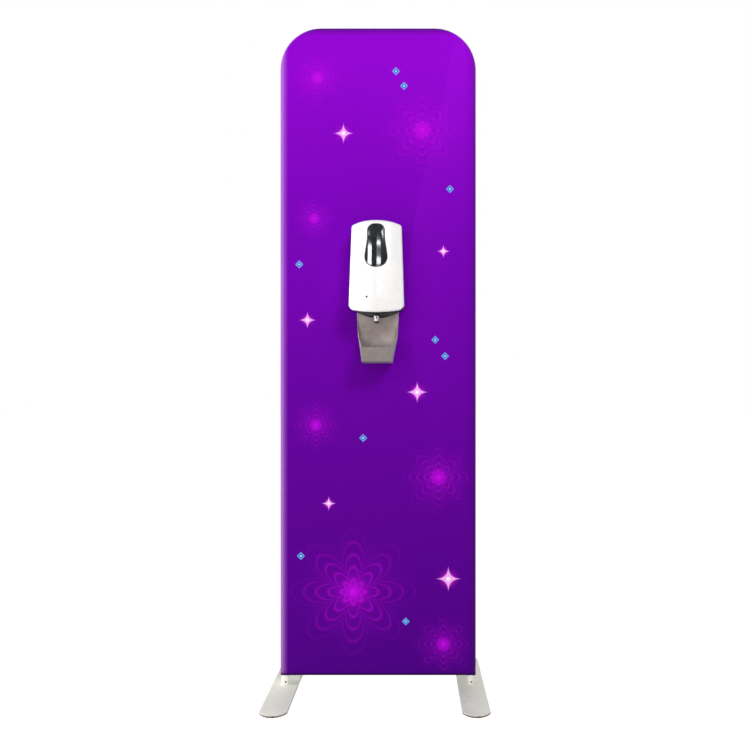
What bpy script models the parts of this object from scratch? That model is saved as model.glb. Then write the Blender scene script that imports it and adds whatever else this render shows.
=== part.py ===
"""A tension-cloth banner stand: a sectioned tube frame in a printed sleeve, two foot plates, and an
automatic hand-gel dispenser with its drip tray. Metres, +Z up, front faces -Y, origin on the floor."""

import math

import bmesh
import bpy
from mathutils import Matrix

# Clearances
GAP = 0.0003
OVERRUN = 0.01
WELD = 0.00001

# Tube frame
PANEL_WIDTH = 0.600
PANEL_TOP = 2.017
PANEL_BOTTOM = 0.0305
PANEL_CORNER_RADIUS = 0.126
TUBE_DIAMETER = 0.030
TUBE_WALL = 0.0015
TUBE_SIDES = 24
BEND_STEPS = 8
BEND_LEG = 0.060
UPRIGHT_JOINT_HEIGHT = 1.020
SPIGOT_LENGTH = 0.100

# Snap buttons
BUTTON_RADIUS = 0.003
BUTTON_PROUD = 0.002
BUTTON_OFFSET = 0.024
BUTTON_SIDES = 12
LEAF_WIDTH = 0.008
LEAF_THICKNESS = 0.001
LEAF_LENGTH = 0.026
LEAF_BEND_RADIUS = 0.0035
LEAF_SEAT_DEPTH = 0.0012

# Crossbars
CROSSBAR_DIAMETER = 0.022
CROSSBAR_INSET = 0.025
SADDLE_WIDTH = 0.022
SADDLE_HEIGHT = 0.034
SADDLE_REACH = 0.004
SADDLE_PEG_LENGTH = 0.040

# Sleeve and zip
CLOTH_THICKNESS = 0.0008
CLOTH_ROUND_STEPS = 4
ZIP_HEIGHT = 0.094
ZIP_LENGTH = 0.500
ZIP_SLOT = 0.008
ZIP_TAPE_WIDTH = 0.024
ZIP_TAPE_THICKNESS = 0.0008
ZIP_TEETH_WIDTH = 0.006
ZIP_TEETH_DEPTH = 0.0026
ZIP_TEETH_PITCH = 0.0125
ZIP_TOOTH_LENGTH = 0.0085
SLIDER_LENGTH = 0.014
SLIDER_WIDTH = 0.011
SLIDER_THICKNESS = 0.0022
LUG_REACH = 0.0036
LUG_HEIGHT = 0.0034
LUG_THICKNESS = 0.0012
LUG_SPAN = 0.0052
PULLER_PIN_RADIUS = 0.0007
PULLER_LENGTH = 0.030
PULLER_WIDTH = 0.0085
PULLER_THICKNESS = 0.0014
PULLER_BORE_CLEARANCE = 0.0003
PULLER_FOOT_SHARE = 0.6

# Feet
FOOT_LENGTH = 0.400
FOOT_WIDTH = 0.080
FOOT_THICKNESS = 0.006
FOOT_NOSE_RADIUS = 0.046
FOOT_EDGE_BEVEL = 0.0012
FOOT_SPIGOT_HEIGHT = 0.110
FOOT_STUD_RADIUS = 0.008
FOOT_STUD_HEIGHT = 0.016
FOOT_COLLAR_REACH = 0.0013
FOOT_COLLAR_HEIGHT = 0.0024
GRUB_RADIUS = 0.0026
GRUB_HEIGHT = 0.0078
GRUB_TURN = math.radians(8)
GRUB_SOCKET_RADIUS = 0.0014
GRUB_SOCKET_DEPTH = 0.0015

# Mounting plate behind the cloth
PLATE_WIDTH = 0.130
PLATE_RISE = 0.0205
PLATE_HEIGHT = 0.226
PLATE_THICKNESS = 0.002
PLATE_CORNER = 0.010
STRAP_WIDTH = 0.024
STRAP_THICKNESS = 0.0015
STRAP_FLANGE = 0.016
SCREW_HALF_SPACING = 0.045
SCREW_INSET_BELOW = 0.048
SCREW_INSET_ABOVE = 0.054
SCREW_RADIUS = 0.002
SCREW_HEAD_RADIUS = 0.004
SCREW_HEAD_DEPTH = 0.0025
SCREW_SLOT_WIDTH = 0.001
SCREW_SLOT_DEPTH = 0.001

# Dispenser cover
COVER_WALL = 0.0025
COVER_BOTTOM = 1.1295
COVER_SIDE_HEIGHT = 0.2600
COVER_DOME = 0.0105
COVER_TOP_HALF = 0.0735
COVER_BOTTOM_HALF = 0.0805
COVER_FRONT_BOTTOM = 0.127
COVER_FRONT_TOP = 0.112
COVER_CROWN = 0.024
COVER_ROUNDING = 0.011
COVER_SMILE = 0.010
COVER_TOE = 0.008
COVER_COLUMNS = 8
COVER_ROUND_STEPS = 3
COVER_CROWN_ROWS = 3
WINDOW_DROP = 0.012
WINDOW_HEIGHT = 0.128
WINDOW_HEAD_HALF = 0.0262
WINDOW_FOOT_HALF = 0.0335
WINDOW_NECK_RISE = 0.084
WINDOW_SWELL_RISE = 0.036
WINDOW_HEAD_ROUNDING = 0.015
WINDOW_NECK_ROUNDING = 0.050
WINDOW_FOOT_ROUNDING = 0.030
WINDOW_WALL = 0.0022
INDICATOR_X = -0.0266
INDICATOR_RISE = 0.0445
INDICATOR_RADIUS = 0.0027
INDICATOR_DEPTH = 0.006
INDICATOR_FLANGE = 0.0012
INDICATOR_SEAT = 0.0022
INDICATOR_FACE_SHARE = 0.8

# Dispenser base, hinge and lock
BASE_DEPTH = 0.0125
BASE_WALL = 0.003
BASE_LIFT = 0.0165
BASE_SKIRT_HEIGHT = 0.020
HINGE_SETBACK = 0.0065
HINGE_RISE = 0.0255
HINGE_PIN_RADIUS = 0.0025
HINGE_PIN_CLEARANCE = 0.0004
HINGE_PIN_END_HALF = 0.0790
EAR_HALF = 0.0720
EAR_THICKNESS = 0.004
EAR_RADIUS = 0.006
KNUCKLE_RADIUS = 0.005
LOCK_RADIUS = 0.007
LOCK_SETBACK = 0.014
LOCK_HEAD_HEIGHT = 0.002
LOCK_STEM_DEPTH = 0.015
LOCK_CAM_LENGTH = 0.011
LOCK_CAM_WIDTH = 0.006
LOCK_CAM_THICKNESS = 0.002
LOCK_SLOT_WIDTH = 0.0015
KEEPER_WIDTH = 0.005
KEEPER_THICKNESS = 0.003
KEEPER_PLAY = 0.001

# Drive case, nozzle and what is on the underside
CASE_HALF = 0.0630
CASE_FRONT = 0.104
CASE_CROWN = 0.026
CASE_HEIGHT = 0.0504
CASE_DROP = 0.0039
CASE_SMILE = 0.0165
NOZZLE_SETBACK = 0.016
NOZZLE_RADIUS = 0.0070
NOZZLE_COLLAR_RADIUS = 0.0085
NOZZLE_COLLAR_HEIGHT = 0.004
NOZZLE_DROP = 0.0245
NOZZLE_NECK_RADIUS = 0.0042
NOZZLE_BELL_RADIUS = 0.0068
NOZZLE_GROOVE = 0.0008
NOZZLE_RING_RADIUS = 0.0078
NOZZLE_RING_HEIGHT = 0.0052
NOZZLE_BORE_RADIUS = 0.0012
NOZZLE_BORE_DEPTH = 0.005
SENSOR_SETBACK = 0.035
SENSOR_WIDTH = 0.020
SENSOR_DEPTH = 0.012
SENSOR_DROP = 0.006
SENSOR_RECESS = 0.004
SWITCH_X = 0.045
SWITCH_BACKSET = 0.046
SWITCH_SLOT_LENGTH = 0.013
SWITCH_SLOT_WIDTH = 0.006
SWITCH_TRAVEL = 0.004
SWITCH_SINK = 0.004
SWITCH_PROUD = 0.0015
CELL_RADIUS = 0.00725
CELL_LENGTH = 0.0505
CELL_NIB_RADIUS = 0.0027
CELL_NIB_HEIGHT = 0.0010
CELL_OVERLAP = 0.0002
BAY_LENGTH = 0.060
BAY_WIDTH = 0.0300
BAY_BACKSET = 0.0245
BAY_ROOM = 0.0010
LID_MARGIN = 0.003
LID_THICKNESS = 0.0022
LID_RIM_HEIGHT = 0.0016
LID_RIM_WALL = 0.002
LID_RIB_PITCH = 0.004
LID_RIB_COUNT = 4
LID_RIB_HEIGHT = 0.0008
LID_RIB_WIDTH = 0.0012

# Refill bottle and pump cap
BOTTLE_RADIUS = 0.0350
BOTTLE_HEIGHT = 0.126
BOTTLE_SHOULDER = 0.022
BOTTLE_NECK_RADIUS = 0.0150
BOTTLE_NECK_HEIGHT = 0.012
BOTTLE_EDGE = 0.004
SHOULDER_SHARES = (0.8, 0.6)
BOTTLE_SETBACK = 0.062
CAP_RADIUS = 0.0190
CAP_HEIGHT = 0.018
CAP_RIBS = 20
CAP_RIB_DEPTH = 0.0008
CAP_RIB_SHARES = (0.5, 0.6, 0.9)

# Drip tray
TRAY_SHEET = 0.0012
TRAY_RISE = 0.0865
TRAY_HEIGHT = 0.228
TRAY_TOP_HALF = 0.0660
TRAY_HEEL_RISE = 0.082
TRAY_HEEL_HALF = 0.0605
TRAY_BACK_BOTTOM_HALF = 0.0450
TRAY_LIP_RISE = 0.042
TRAY_LIP_HALF = 0.0410
TRAY_NOSE_HALF = 0.0425
TRAY_NOSE_DEPTH = 0.101
TRAY_LIP_DEPTH = 0.104
TRAY_FLANGE_SHARE = 0.18
TRAY_FLANGE_RISE = 0.136

# Sizes that follow from those above
TUBE_RADIUS = TUBE_DIAMETER / 2
CROSSBAR_RADIUS = CROSSBAR_DIAMETER / 2
CLOTH_INNER = TUBE_RADIUS + GAP
CLOTH_OUTER = CLOTH_INNER + CLOTH_THICKNESS
POST_X = PANEL_WIDTH / 2 - CLOTH_OUTER
TOP_TUBE_HEIGHT = PANEL_TOP - CLOTH_OUTER
HEM_HEIGHT = PANEL_BOTTOM + CLOTH_OUTER
BEND_RADIUS = PANEL_CORNER_RADIUS - CLOTH_OUTER
BEND_START = TOP_TUBE_HEIGHT - BEND_RADIUS
BEND_FOOT = BEND_START - BEND_LEG
BEND_END_X = POST_X - BEND_RADIUS - BEND_LEG
SPIGOT_RADIUS = TUBE_RADIUS - TUBE_WALL - GAP
SPIGOT_BORE = SPIGOT_RADIUS - TUBE_WALL
SADDLE_FACE = TUBE_RADIUS + GAP + SADDLE_REACH
PLATE_FRONT = -(CLOTH_INNER - GAP)
PLATE_BACK = PLATE_FRONT + PLATE_THICKNESS
CROSSBAR_Y = PLATE_BACK + GAP + CROSSBAR_RADIUS
TRAY_BACK = -(CLOTH_OUTER + GAP)
TRAY_FRONT = TRAY_BACK - TRAY_SHEET
BASE_BACK = TRAY_FRONT - GAP
BASE_FRONT = BASE_BACK - BASE_DEPTH
COVER_BACK = BASE_FRONT - GAP
HINGE_Y = COVER_BACK - HINGE_SETBACK
CASE_BACK = BASE_BACK - BASE_WALL - GAP

COVER_SHOULDER = COVER_BOTTOM + COVER_SIDE_HEIGHT
COVER_TOP = COVER_SHOULDER + COVER_DOME
WINDOW_TOP = COVER_TOP - WINDOW_DROP
WINDOW_BOTTOM = WINDOW_TOP - WINDOW_HEIGHT
WINDOW_NECK_HEIGHT = WINDOW_BOTTOM + WINDOW_NECK_RISE
WINDOW_SWELL_HEIGHT = WINDOW_BOTTOM + WINDOW_SWELL_RISE
INDICATOR_HEIGHT = COVER_BOTTOM + INDICATOR_RISE
BASE_BOTTOM = COVER_BOTTOM + BASE_LIFT
BASE_SKIRT_TOP = BASE_BOTTOM + BASE_SKIRT_HEIGHT
HINGE_HEIGHT = COVER_BOTTOM + HINGE_RISE
CASE_BOTTOM = COVER_BOTTOM - CASE_DROP
CASE_TOP = CASE_BOTTOM + CASE_HEIGHT
PLATE_BOTTOM = COVER_BOTTOM + PLATE_RISE
PLATE_TOP = PLATE_BOTTOM + PLATE_HEIGHT
SCREW_LOWER_HEIGHT = PLATE_BOTTOM + SCREW_INSET_BELOW
SCREW_UPPER_HEIGHT = PLATE_TOP - SCREW_INSET_ABOVE
CROSSBAR_LOWER_HEIGHT = PLATE_BOTTOM + CROSSBAR_INSET
CROSSBAR_UPPER_HEIGHT = PLATE_TOP - CROSSBAR_INSET
TRAY_TOP = COVER_BOTTOM + TRAY_RISE
TRAY_BOTTOM = TRAY_TOP - TRAY_HEIGHT
TRAY_HEEL_HEIGHT = TRAY_BOTTOM + TRAY_HEEL_RISE
TRAY_LIP = TRAY_BOTTOM + TRAY_LIP_RISE
TRAY_FLANGE_TOP = TRAY_BOTTOM + TRAY_FLANGE_RISE

ALONG_Z = (0, 0, 0)
ALONG_Y = (math.pi / 2, 0, 0)
ALONG_X = (math.pi / 2, 0, math.pi / 2)
TURN_TO_X = (0, math.pi / 2, 0)

FINISHES = {
    "anodised tube": ((0.62, 0.62, 0.63), 0.38, 1.0),
    "brushed foot": ((0.72, 0.71, 0.68), 0.42, 1.0),
    "zinc steel": ((0.55, 0.56, 0.58), 0.40, 1.0),
    "spring steel": ((0.40, 0.41, 0.43), 0.35, 1.0),
    "dark screw": ((0.04, 0.04, 0.045), 0.50, 1.0),
    "printed cloth": ((0.16, 0.002, 0.40), 0.80, 0.0),
    "zip": ((0.05, 0.01, 0.10), 0.60, 0.0),
    "black plastic": ((0.012, 0.012, 0.013), 0.45, 0.0),
    "gray plastic": ((0.22, 0.22, 0.23), 0.50, 0.0),
    "white plastic": ((0.90, 0.90, 0.89), 0.28, 0.0),
    "smoked window": ((0.012, 0.016, 0.020), 0.06, 0.0),
    "clear bottle": ((0.75, 0.80, 0.82), 0.15, 0.0),
    "tray sheet": ((0.30, 0.27, 0.265), 0.45, 0.9),
}


def clear_scene():
    for old in list(bpy.data.objects):
        bpy.data.objects.remove(old)


def new_collection(name):
    collection = bpy.data.collections.new(name)
    bpy.context.scene.collection.children.link(collection)
    return collection


def material_of(finish):
    material = bpy.data.materials.get(finish)
    if material is None:
        colour, roughness, metallic = FINISHES[finish]
        material = bpy.data.materials.new(finish)
        material.use_nodes = True
        shader = material.node_tree.nodes["Principled BSDF"]
        shader.inputs["Base Color"].default_value = (*colour, 1)
        shader.inputs["Roughness"].default_value = roughness
        shader.inputs["Metallic"].default_value = metallic
    return material


def add_object(name, mesh, finish=None, at=(0, 0, 0), turn=ALONG_Z):
    """Links a mesh as a piece of the stand, or as a cutter where it has no finish."""
    made = bpy.data.objects.new(name, mesh)
    made.location = at
    made.rotation_euler = turn
    if finish:
        PIECES.objects.link(made)
        mesh.materials.append(material_of(finish))
        mesh.shade_smooth()
        mesh.set_sharp_from_angle(angle=math.radians(35))
    else:
        CUTTERS.objects.link(made)
        made.hide_render = True
        made.display_type = "WIRE"
    return made


def mesh_of_curve(curve):
    """The curve's evaluated surface as a mesh, with its caps welded on."""
    guide = bpy.data.objects.new("guide", curve)
    bpy.context.scene.collection.objects.link(guide)
    graph = bpy.context.evaluated_depsgraph_get()
    mesh = bpy.data.meshes.new_from_object(guide.evaluated_get(graph))
    bpy.data.objects.remove(guide)
    form = bmesh.new()
    form.from_mesh(mesh)
    bmesh.ops.remove_doubles(form, verts=form.verts, dist=WELD)
    bmesh.ops.recalc_face_normals(form, faces=form.faces)
    form.to_mesh(mesh)
    form.free()
    mesh.materials.clear()
    return mesh


def add_spline(curve, points, cyclic):
    spline = curve.splines.new("POLY")
    spline.points.add(len(points) - 1)
    for place, point in zip(spline.points, points):
        place.co = (*point, *(0,) * (3 - len(point)), 1)
    spline.use_cyclic_u = cyclic


def flat(name, outlines, thickness, finish=None, at=(0, 0, 0), turn=ALONG_Z):
    """A flat piece: the first outline's area less the others', centred on its own plane."""
    curve = bpy.data.curves.new(name, "CURVE")
    curve.dimensions = "2D"
    curve.fill_mode = "BOTH"
    curve.extrude = thickness / 2
    for outline in outlines:
        add_spline(curve, outline, True)
    return add_object(name, mesh_of_curve(curve), finish, at, turn)


def pillow(name, outline, radius, steps):
    """The outline's area swept by a round of this radius, so its edge is a half round."""
    curve = bpy.data.curves.new(name, "CURVE")
    curve.dimensions = "2D"
    curve.fill_mode = "BOTH"
    curve.bevel_depth = radius
    curve.bevel_resolution = steps
    add_spline(curve, outline, True)
    return add_object(name, mesh_of_curve(curve), turn=ALONG_Y)


def turned(name, profile, finish=None, at=(0, 0, 0), turn=ALONG_Z, sides=TUBE_SIDES, ring=False):
    """A profile of (radius, height) points, top to bottom, turned about its own Z axis."""
    form = bmesh.new()
    verts = [form.verts.new((radius, 0, height)) for radius, height in profile]
    ends = verts[1:] + verts[:1] if ring else verts[1:]
    for first, second in zip(verts, ends):
        form.edges.new((first, second))
    mesh = bpy.data.meshes.new(name)
    form.to_mesh(mesh)
    form.free()
    made = add_object(name, mesh, finish, at, turn)
    screw = made.modifiers.new("turn", "SCREW")
    screw.steps = sides
    screw.render_steps = sides
    screw.use_merge_vertices = True
    screw.merge_threshold = WELD
    return made


def rod(name, radius, low, high, finish=None, at=(0, 0, 0), turn=ALONG_Z, sides=TUBE_SIDES):
    profile = [(0, high), (radius, high), (radius, low), (0, low)]
    return turned(name, profile, finish, at, turn, sides)


def pipe(name, radius, wall, low, high, finish, at, turn=ALONG_Z):
    bore = radius - wall
    profile = [(radius, high), (radius, low), (bore, low), (bore, high)]
    return turned(name, profile, finish, at, turn, ring=True)


def block(name, low, high, finish=None):
    """A box between two corners."""
    form = bmesh.new()
    bmesh.ops.create_cube(form, size=1)
    size = [b - a for a, b in zip(low, high)]
    middle = [(a + b) / 2 for a, b in zip(low, high)]
    form.transform(Matrix.Translation(middle) @ Matrix.Diagonal((*size, 1)))
    mesh = bpy.data.meshes.new(name)
    form.to_mesh(mesh)
    form.free()
    return add_object(name, mesh, finish)


def combine(target, tool, operation="DIFFERENCE"):
    change = target.modifiers.new(operation.lower(), "BOOLEAN")
    change.operation = operation
    change.solver = "EXACT"
    change.object = tool


def bevel(target, width, segments=1, angle=math.radians(40)):
    edge = target.modifiers.new("bevel", "BEVEL")
    edge.width = width
    edge.segments = segments
    edge.limit_method = "ANGLE"
    edge.angle_limit = angle


def rounded(corners, steps=4):
    """An outline through (u, v, radius) corners, each one turned by an arc of its radius."""
    outline = []
    for index, (u, v, radius) in enumerate(corners):
        before = corners[index - 1]
        after = corners[(index + 1) % len(corners)]
        back = (before[0] - u, before[1] - v)
        ahead = (after[0] - u, after[1] - v)
        back_angle = math.atan2(back[1], back[0])
        ahead_angle = math.atan2(ahead[1], ahead[0])
        turn = (ahead_angle - back_angle + math.pi) % (2 * math.pi) - math.pi
        if radius == 0:
            outline.append((u, v))
            continue
        middle = back_angle + turn / 2
        reach = radius / math.sin(abs(turn) / 2)
        centre = (u + reach * math.cos(middle), v + reach * math.sin(middle))
        sweep = math.pi - abs(turn)
        start = middle + math.pi + math.copysign(sweep / 2, turn)
        for step in range(steps + 1):
            angle = start - math.copysign(sweep, turn) * step / steps
            outline.append((centre[0] + radius * math.cos(angle), centre[1] + radius * math.sin(angle)))
    return outline


def circle(centre, radius, sides=BUTTON_SIDES):
    turns = [2 * math.pi * step / sides for step in range(sides)]
    return [(centre[0] + radius * math.cos(t), centre[1] + radius * math.sin(t)) for t in turns]


def panel_outline():
    """The frame's centreline, as seen from the front."""
    corners = [
        (-POST_X, HEM_HEIGHT, 0),
        (POST_X, HEM_HEIGHT, 0),
        (POST_X, TOP_TUBE_HEIGHT, BEND_RADIUS),
        (-POST_X, TOP_TUBE_HEIGHT, BEND_RADIUS),
    ]
    return rounded(corners, BEND_STEPS)


def make_uprights(side, name):
    pipe(f"upright_lower_{name}", TUBE_RADIUS, TUBE_WALL, HEM_HEIGHT, UPRIGHT_JOINT_HEIGHT, "anodised tube",
         (side * POST_X, 0, 0))
    pipe(f"upright_upper_{name}", TUBE_RADIUS, TUBE_WALL, UPRIGHT_JOINT_HEIGHT + GAP, BEND_FOOT,
         "anodised tube", (side * POST_X, 0, 0))


def make_bend(side, name):
    """A corner bend: an open swept surface with its wall added inwards."""
    centre = (POST_X - BEND_RADIUS, BEND_START)
    route = [(side * POST_X, 0, BEND_FOOT + GAP)]
    for step in range(BEND_STEPS + 1):
        angle = math.pi / 2 * step / BEND_STEPS
        x = centre[0] + BEND_RADIUS * math.cos(angle)
        route.append((side * x, 0, centre[1] + BEND_RADIUS * math.sin(angle)))
    route.append((side * (BEND_END_X + GAP), 0, TOP_TUBE_HEIGHT))
    curve = bpy.data.curves.new(f"corner_bend_{name}", "CURVE")
    curve.dimensions = "3D"
    curve.bevel_depth = TUBE_RADIUS
    curve.bevel_resolution = TUBE_SIDES // 2 - 2
    add_spline(curve, route, False)
    bend = add_object(f"corner_bend_{name}", mesh_of_curve(curve), "anodised tube")
    wall = bend.modifiers.new("wall", "SOLIDIFY")
    wall.thickness = TUBE_WALL
    wall.offset = -1
    return bend


def button_profile():
    """The snap button's pin, with a domed end, from its leaf out to its tip."""
    seat = SPIGOT_BORE - LEAF_SEAT_DEPTH
    tip = TUBE_RADIUS + BUTTON_PROUD
    dome = [(BUTTON_RADIUS * math.sin(a), tip - BUTTON_RADIUS / 2 * (1 - math.cos(a)))
            for a in (0, math.pi / 6, math.pi / 3, math.pi / 2)]
    return dome + [(BUTTON_RADIUS, seat), (0, seat)]


def leaf_outline():
    """The hairpin leaf in (height, depth): a front limb, a round turn and a shorter back limb."""
    front = SPIGOT_BORE - LEAF_SEAT_DEPTH + GAP
    inner = LEAF_BEND_RADIUS - LEAF_THICKNESS
    centre = (-LEAF_LENGTH, front - LEAF_BEND_RADIUS)
    quarter = [math.pi / 2 + math.pi * step / 4 for step in range(5)]
    outer_turn = [(centre[0] + LEAF_BEND_RADIUS * math.cos(a), centre[1] + LEAF_BEND_RADIUS * math.sin(a))
                  for a in quarter]
    inner_turn = [(centre[0] + inner * math.cos(a), centre[1] + inner * math.sin(a)) for a in quarter]
    front_end = LEAF_WIDTH / 2
    back_end = -LEAF_LENGTH / 3
    return ([(front_end, front)] + outer_turn + [(back_end, front - 2 * LEAF_BEND_RADIUS)]
            + [(back_end, front - LEAF_BEND_RADIUS - inner)] + inner_turn[::-1]
            + [(front_end, front - LEAF_THICKNESS)])


def make_joint(name, middle, axis_turn, facing, tubes):
    """A spigot inside two tube ends, its snap button, and the hole that the button comes out of.

    The spigot's own Z runs along the tubes, and facing is the turn about it that points the button."""
    place = Matrix.Translation(middle) @ axis_turn @ Matrix.Rotation(facing, 4, "Z")
    half = SPIGOT_LENGTH / 2
    spigot = pipe(f"spigot_{name}", SPIGOT_RADIUS, TUBE_WALL, -half, half, "zinc steel", (0, 0, 0))
    spigot.matrix_world = place
    up_button = Matrix.Translation((0, 0, BUTTON_OFFSET)) @ Matrix.Rotation(math.pi / 2, 4, "Y")
    hole = rod(f"hole_{name}", BUTTON_RADIUS + GAP, 0, TUBE_RADIUS + OVERRUN, sides=BUTTON_SIDES)
    hole.matrix_world = place @ up_button
    combine(spigot, hole)
    for tube in tubes:
        combine(bpy.data.objects[tube], hole)
    button = turned(f"snap_button_{name}", button_profile(), "spring steel", sides=BUTTON_SIDES)
    button.matrix_world = place @ up_button
    leaf = flat(f"leaf_{name}", [leaf_outline()], LEAF_WIDTH)
    leaf.matrix_world = place @ Matrix.Translation((0, 0, BUTTON_OFFSET)) @ leaf_axes()
    combine(button, leaf, "UNION")


def leaf_axes():
    """Turns an outline's (height, depth) plane to the spigot's own Z and X."""
    return Matrix(((0, 1, 0, 0), (0, 0, 1, 0), (1, 0, 0, 0), (0, 0, 0, 1)))


def make_joints():
    upright = Matrix.Identity(4)
    for side, name in ((-1, "left"), (1, "right")):
        facing = math.pi if side > 0 else 0
        make_joint(f"upright_{name}", (side * POST_X, 0, UPRIGHT_JOINT_HEIGHT + GAP / 2), upright, facing,
                   [f"upright_upper_{name}"])
        make_joint(f"bend_{name}", (side * POST_X, 0, BEND_FOOT + GAP / 2), upright, facing,
                   [f"corner_bend_{name}"])
        level = Matrix.Rotation(side * math.pi / 2, 4, "Y")
        down = 0 if side > 0 else math.pi
        make_joint(f"top_{name}", (side * (BEND_END_X + GAP / 2), 0, TOP_TUBE_HEIGHT), level, down,
                   [f"corner_bend_{name}"])


def make_crossbar(name, radius, height, y):
    length = POST_X - SADDLE_FACE
    round_drop = math.sqrt(TUBE_RADIUS ** 2 - (SADDLE_WIDTH / 2) ** 2)
    drop = round_drop if height == HEM_HEIGHT else SADDLE_HEIGHT / 2
    pipe(name, radius, TUBE_WALL, -length, length, "anodised tube", (0, y, height), TURN_TO_X)
    for side, end in ((-1, "left"), (1, "right")):
        make_saddle(f"saddle_{name}_{end}", side, radius, height, y, drop)


def make_saddle(name, side, bar_radius, height, y, drop):
    """A moulded block, hollowed to the upright's round, with a peg that fills the crossbar's end."""
    xs = sorted((side * POST_X, side * (POST_X - SADDLE_FACE + GAP)))
    depth = SADDLE_WIDTH / 2
    top = height + SADDLE_HEIGHT / 2
    saddle = block(name, (xs[0], -depth, height - drop), (xs[1], depth, top), "black plastic")
    peg = rod(f"peg_{name}", bar_radius - TUBE_WALL - GAP, -2 * SADDLE_REACH, SADDLE_PEG_LENGTH,
              at=(side * (POST_X - SADDLE_FACE), y, height), turn=(0, -side * math.pi / 2, 0))
    combine(saddle, peg, "UNION")
    seat = rod(f"seat_{name}", TUBE_RADIUS + GAP, height - SADDLE_HEIGHT, height + SADDLE_HEIGHT,
               at=(side * POST_X, 0, 0))
    combine(saddle, seat)


def make_frame():
    for side, name in ((-1, "left"), (1, "right")):
        make_uprights(side, name)
        make_bend(side, name)
    pipe("top_tube", TUBE_RADIUS, TUBE_WALL, -BEND_END_X, BEND_END_X, "anodised tube",
         (0, 0, TOP_TUBE_HEIGHT), TURN_TO_X)
    make_joints()
    make_crossbar("crossbar_bottom", TUBE_RADIUS, HEM_HEIGHT, 0)
    make_crossbar("crossbar_lower", CROSSBAR_RADIUS, CROSSBAR_LOWER_HEIGHT, CROSSBAR_Y)
    make_crossbar("crossbar_upper", CROSSBAR_RADIUS, CROSSBAR_UPPER_HEIGHT, CROSSBAR_Y)


def screw_places():
    for level, height in (("lower", SCREW_LOWER_HEIGHT), ("upper", SCREW_UPPER_HEIGHT)):
        for side, name in ((-1, "left"), (1, "right")):
            yield f"{level}_{name}", side * SCREW_HALF_SPACING, height


def screw_holes(radius=SCREW_RADIUS + GAP):
    return [circle((x, z), radius) for _, x, z in screw_places()]


def make_mounting_plate():
    half = PLATE_WIDTH / 2
    edge = rounded([(-half, PLATE_BOTTOM, PLATE_CORNER), (half, PLATE_BOTTOM, PLATE_CORNER),
                    (half, PLATE_TOP, PLATE_CORNER), (-half, PLATE_TOP, PLATE_CORNER)])
    flat("mounting_plate", [edge] + screw_holes(), PLATE_THICKNESS, "zinc steel",
         (0, (PLATE_FRONT + PLATE_BACK) / 2, 0), ALONG_Y)
    for name, height in (("lower", CROSSBAR_LOWER_HEIGHT), ("upper", CROSSBAR_UPPER_HEIGHT)):
        make_strap(f"plate_strap_{name}", height)


def make_strap(name, height):
    """A strip bent over the crossbar, with a flat flange above and below it on the plate."""
    inner = CROSSBAR_RADIUS + GAP
    outer = inner + STRAP_THICKNESS
    foot = PLATE_BACK + GAP
    far = outer + STRAP_FLANGE
    angles = [math.pi / 2 - math.pi * step / 8 for step in range(9)]
    over = [(CROSSBAR_Y + outer * math.cos(a), height + outer * math.sin(a)) for a in angles]
    under = [(CROSSBAR_Y + inner * math.cos(a), height + inner * math.sin(a)) for a in angles]
    outline = [(foot, height + far), (foot + STRAP_THICKNESS, height + far),
               (foot + STRAP_THICKNESS, height + outer)]
    outline += over
    outline += [(foot + STRAP_THICKNESS, height - outer), (foot + STRAP_THICKNESS, height - far),
                (foot, height - far), (foot, height - inner)]
    outline += under[::-1]
    outline += [(foot, height + inner)]
    flat(name, [outline], STRAP_WIDTH, "zinc steel", turn=ALONG_X)


def make_screws():
    """Slotted screws from inside the dispenser's base, through tray, cloth and plate."""
    head_back = BASE_BACK - BASE_WALL - GAP
    tip = PLATE_BACK + SCREW_HEAD_DEPTH
    for name, x, z in screw_places():
        profile = [(0, SCREW_HEAD_DEPTH), (SCREW_HEAD_RADIUS / 2, SCREW_HEAD_DEPTH), (SCREW_HEAD_RADIUS, 0),
                   (SCREW_RADIUS, 0), (SCREW_RADIUS, head_back - tip), (0, head_back - tip)]
        turned(f"dispenser_screw_{name}", profile, "zinc steel", (x, head_back, z), ALONG_Y, BUTTON_SIDES)


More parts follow.
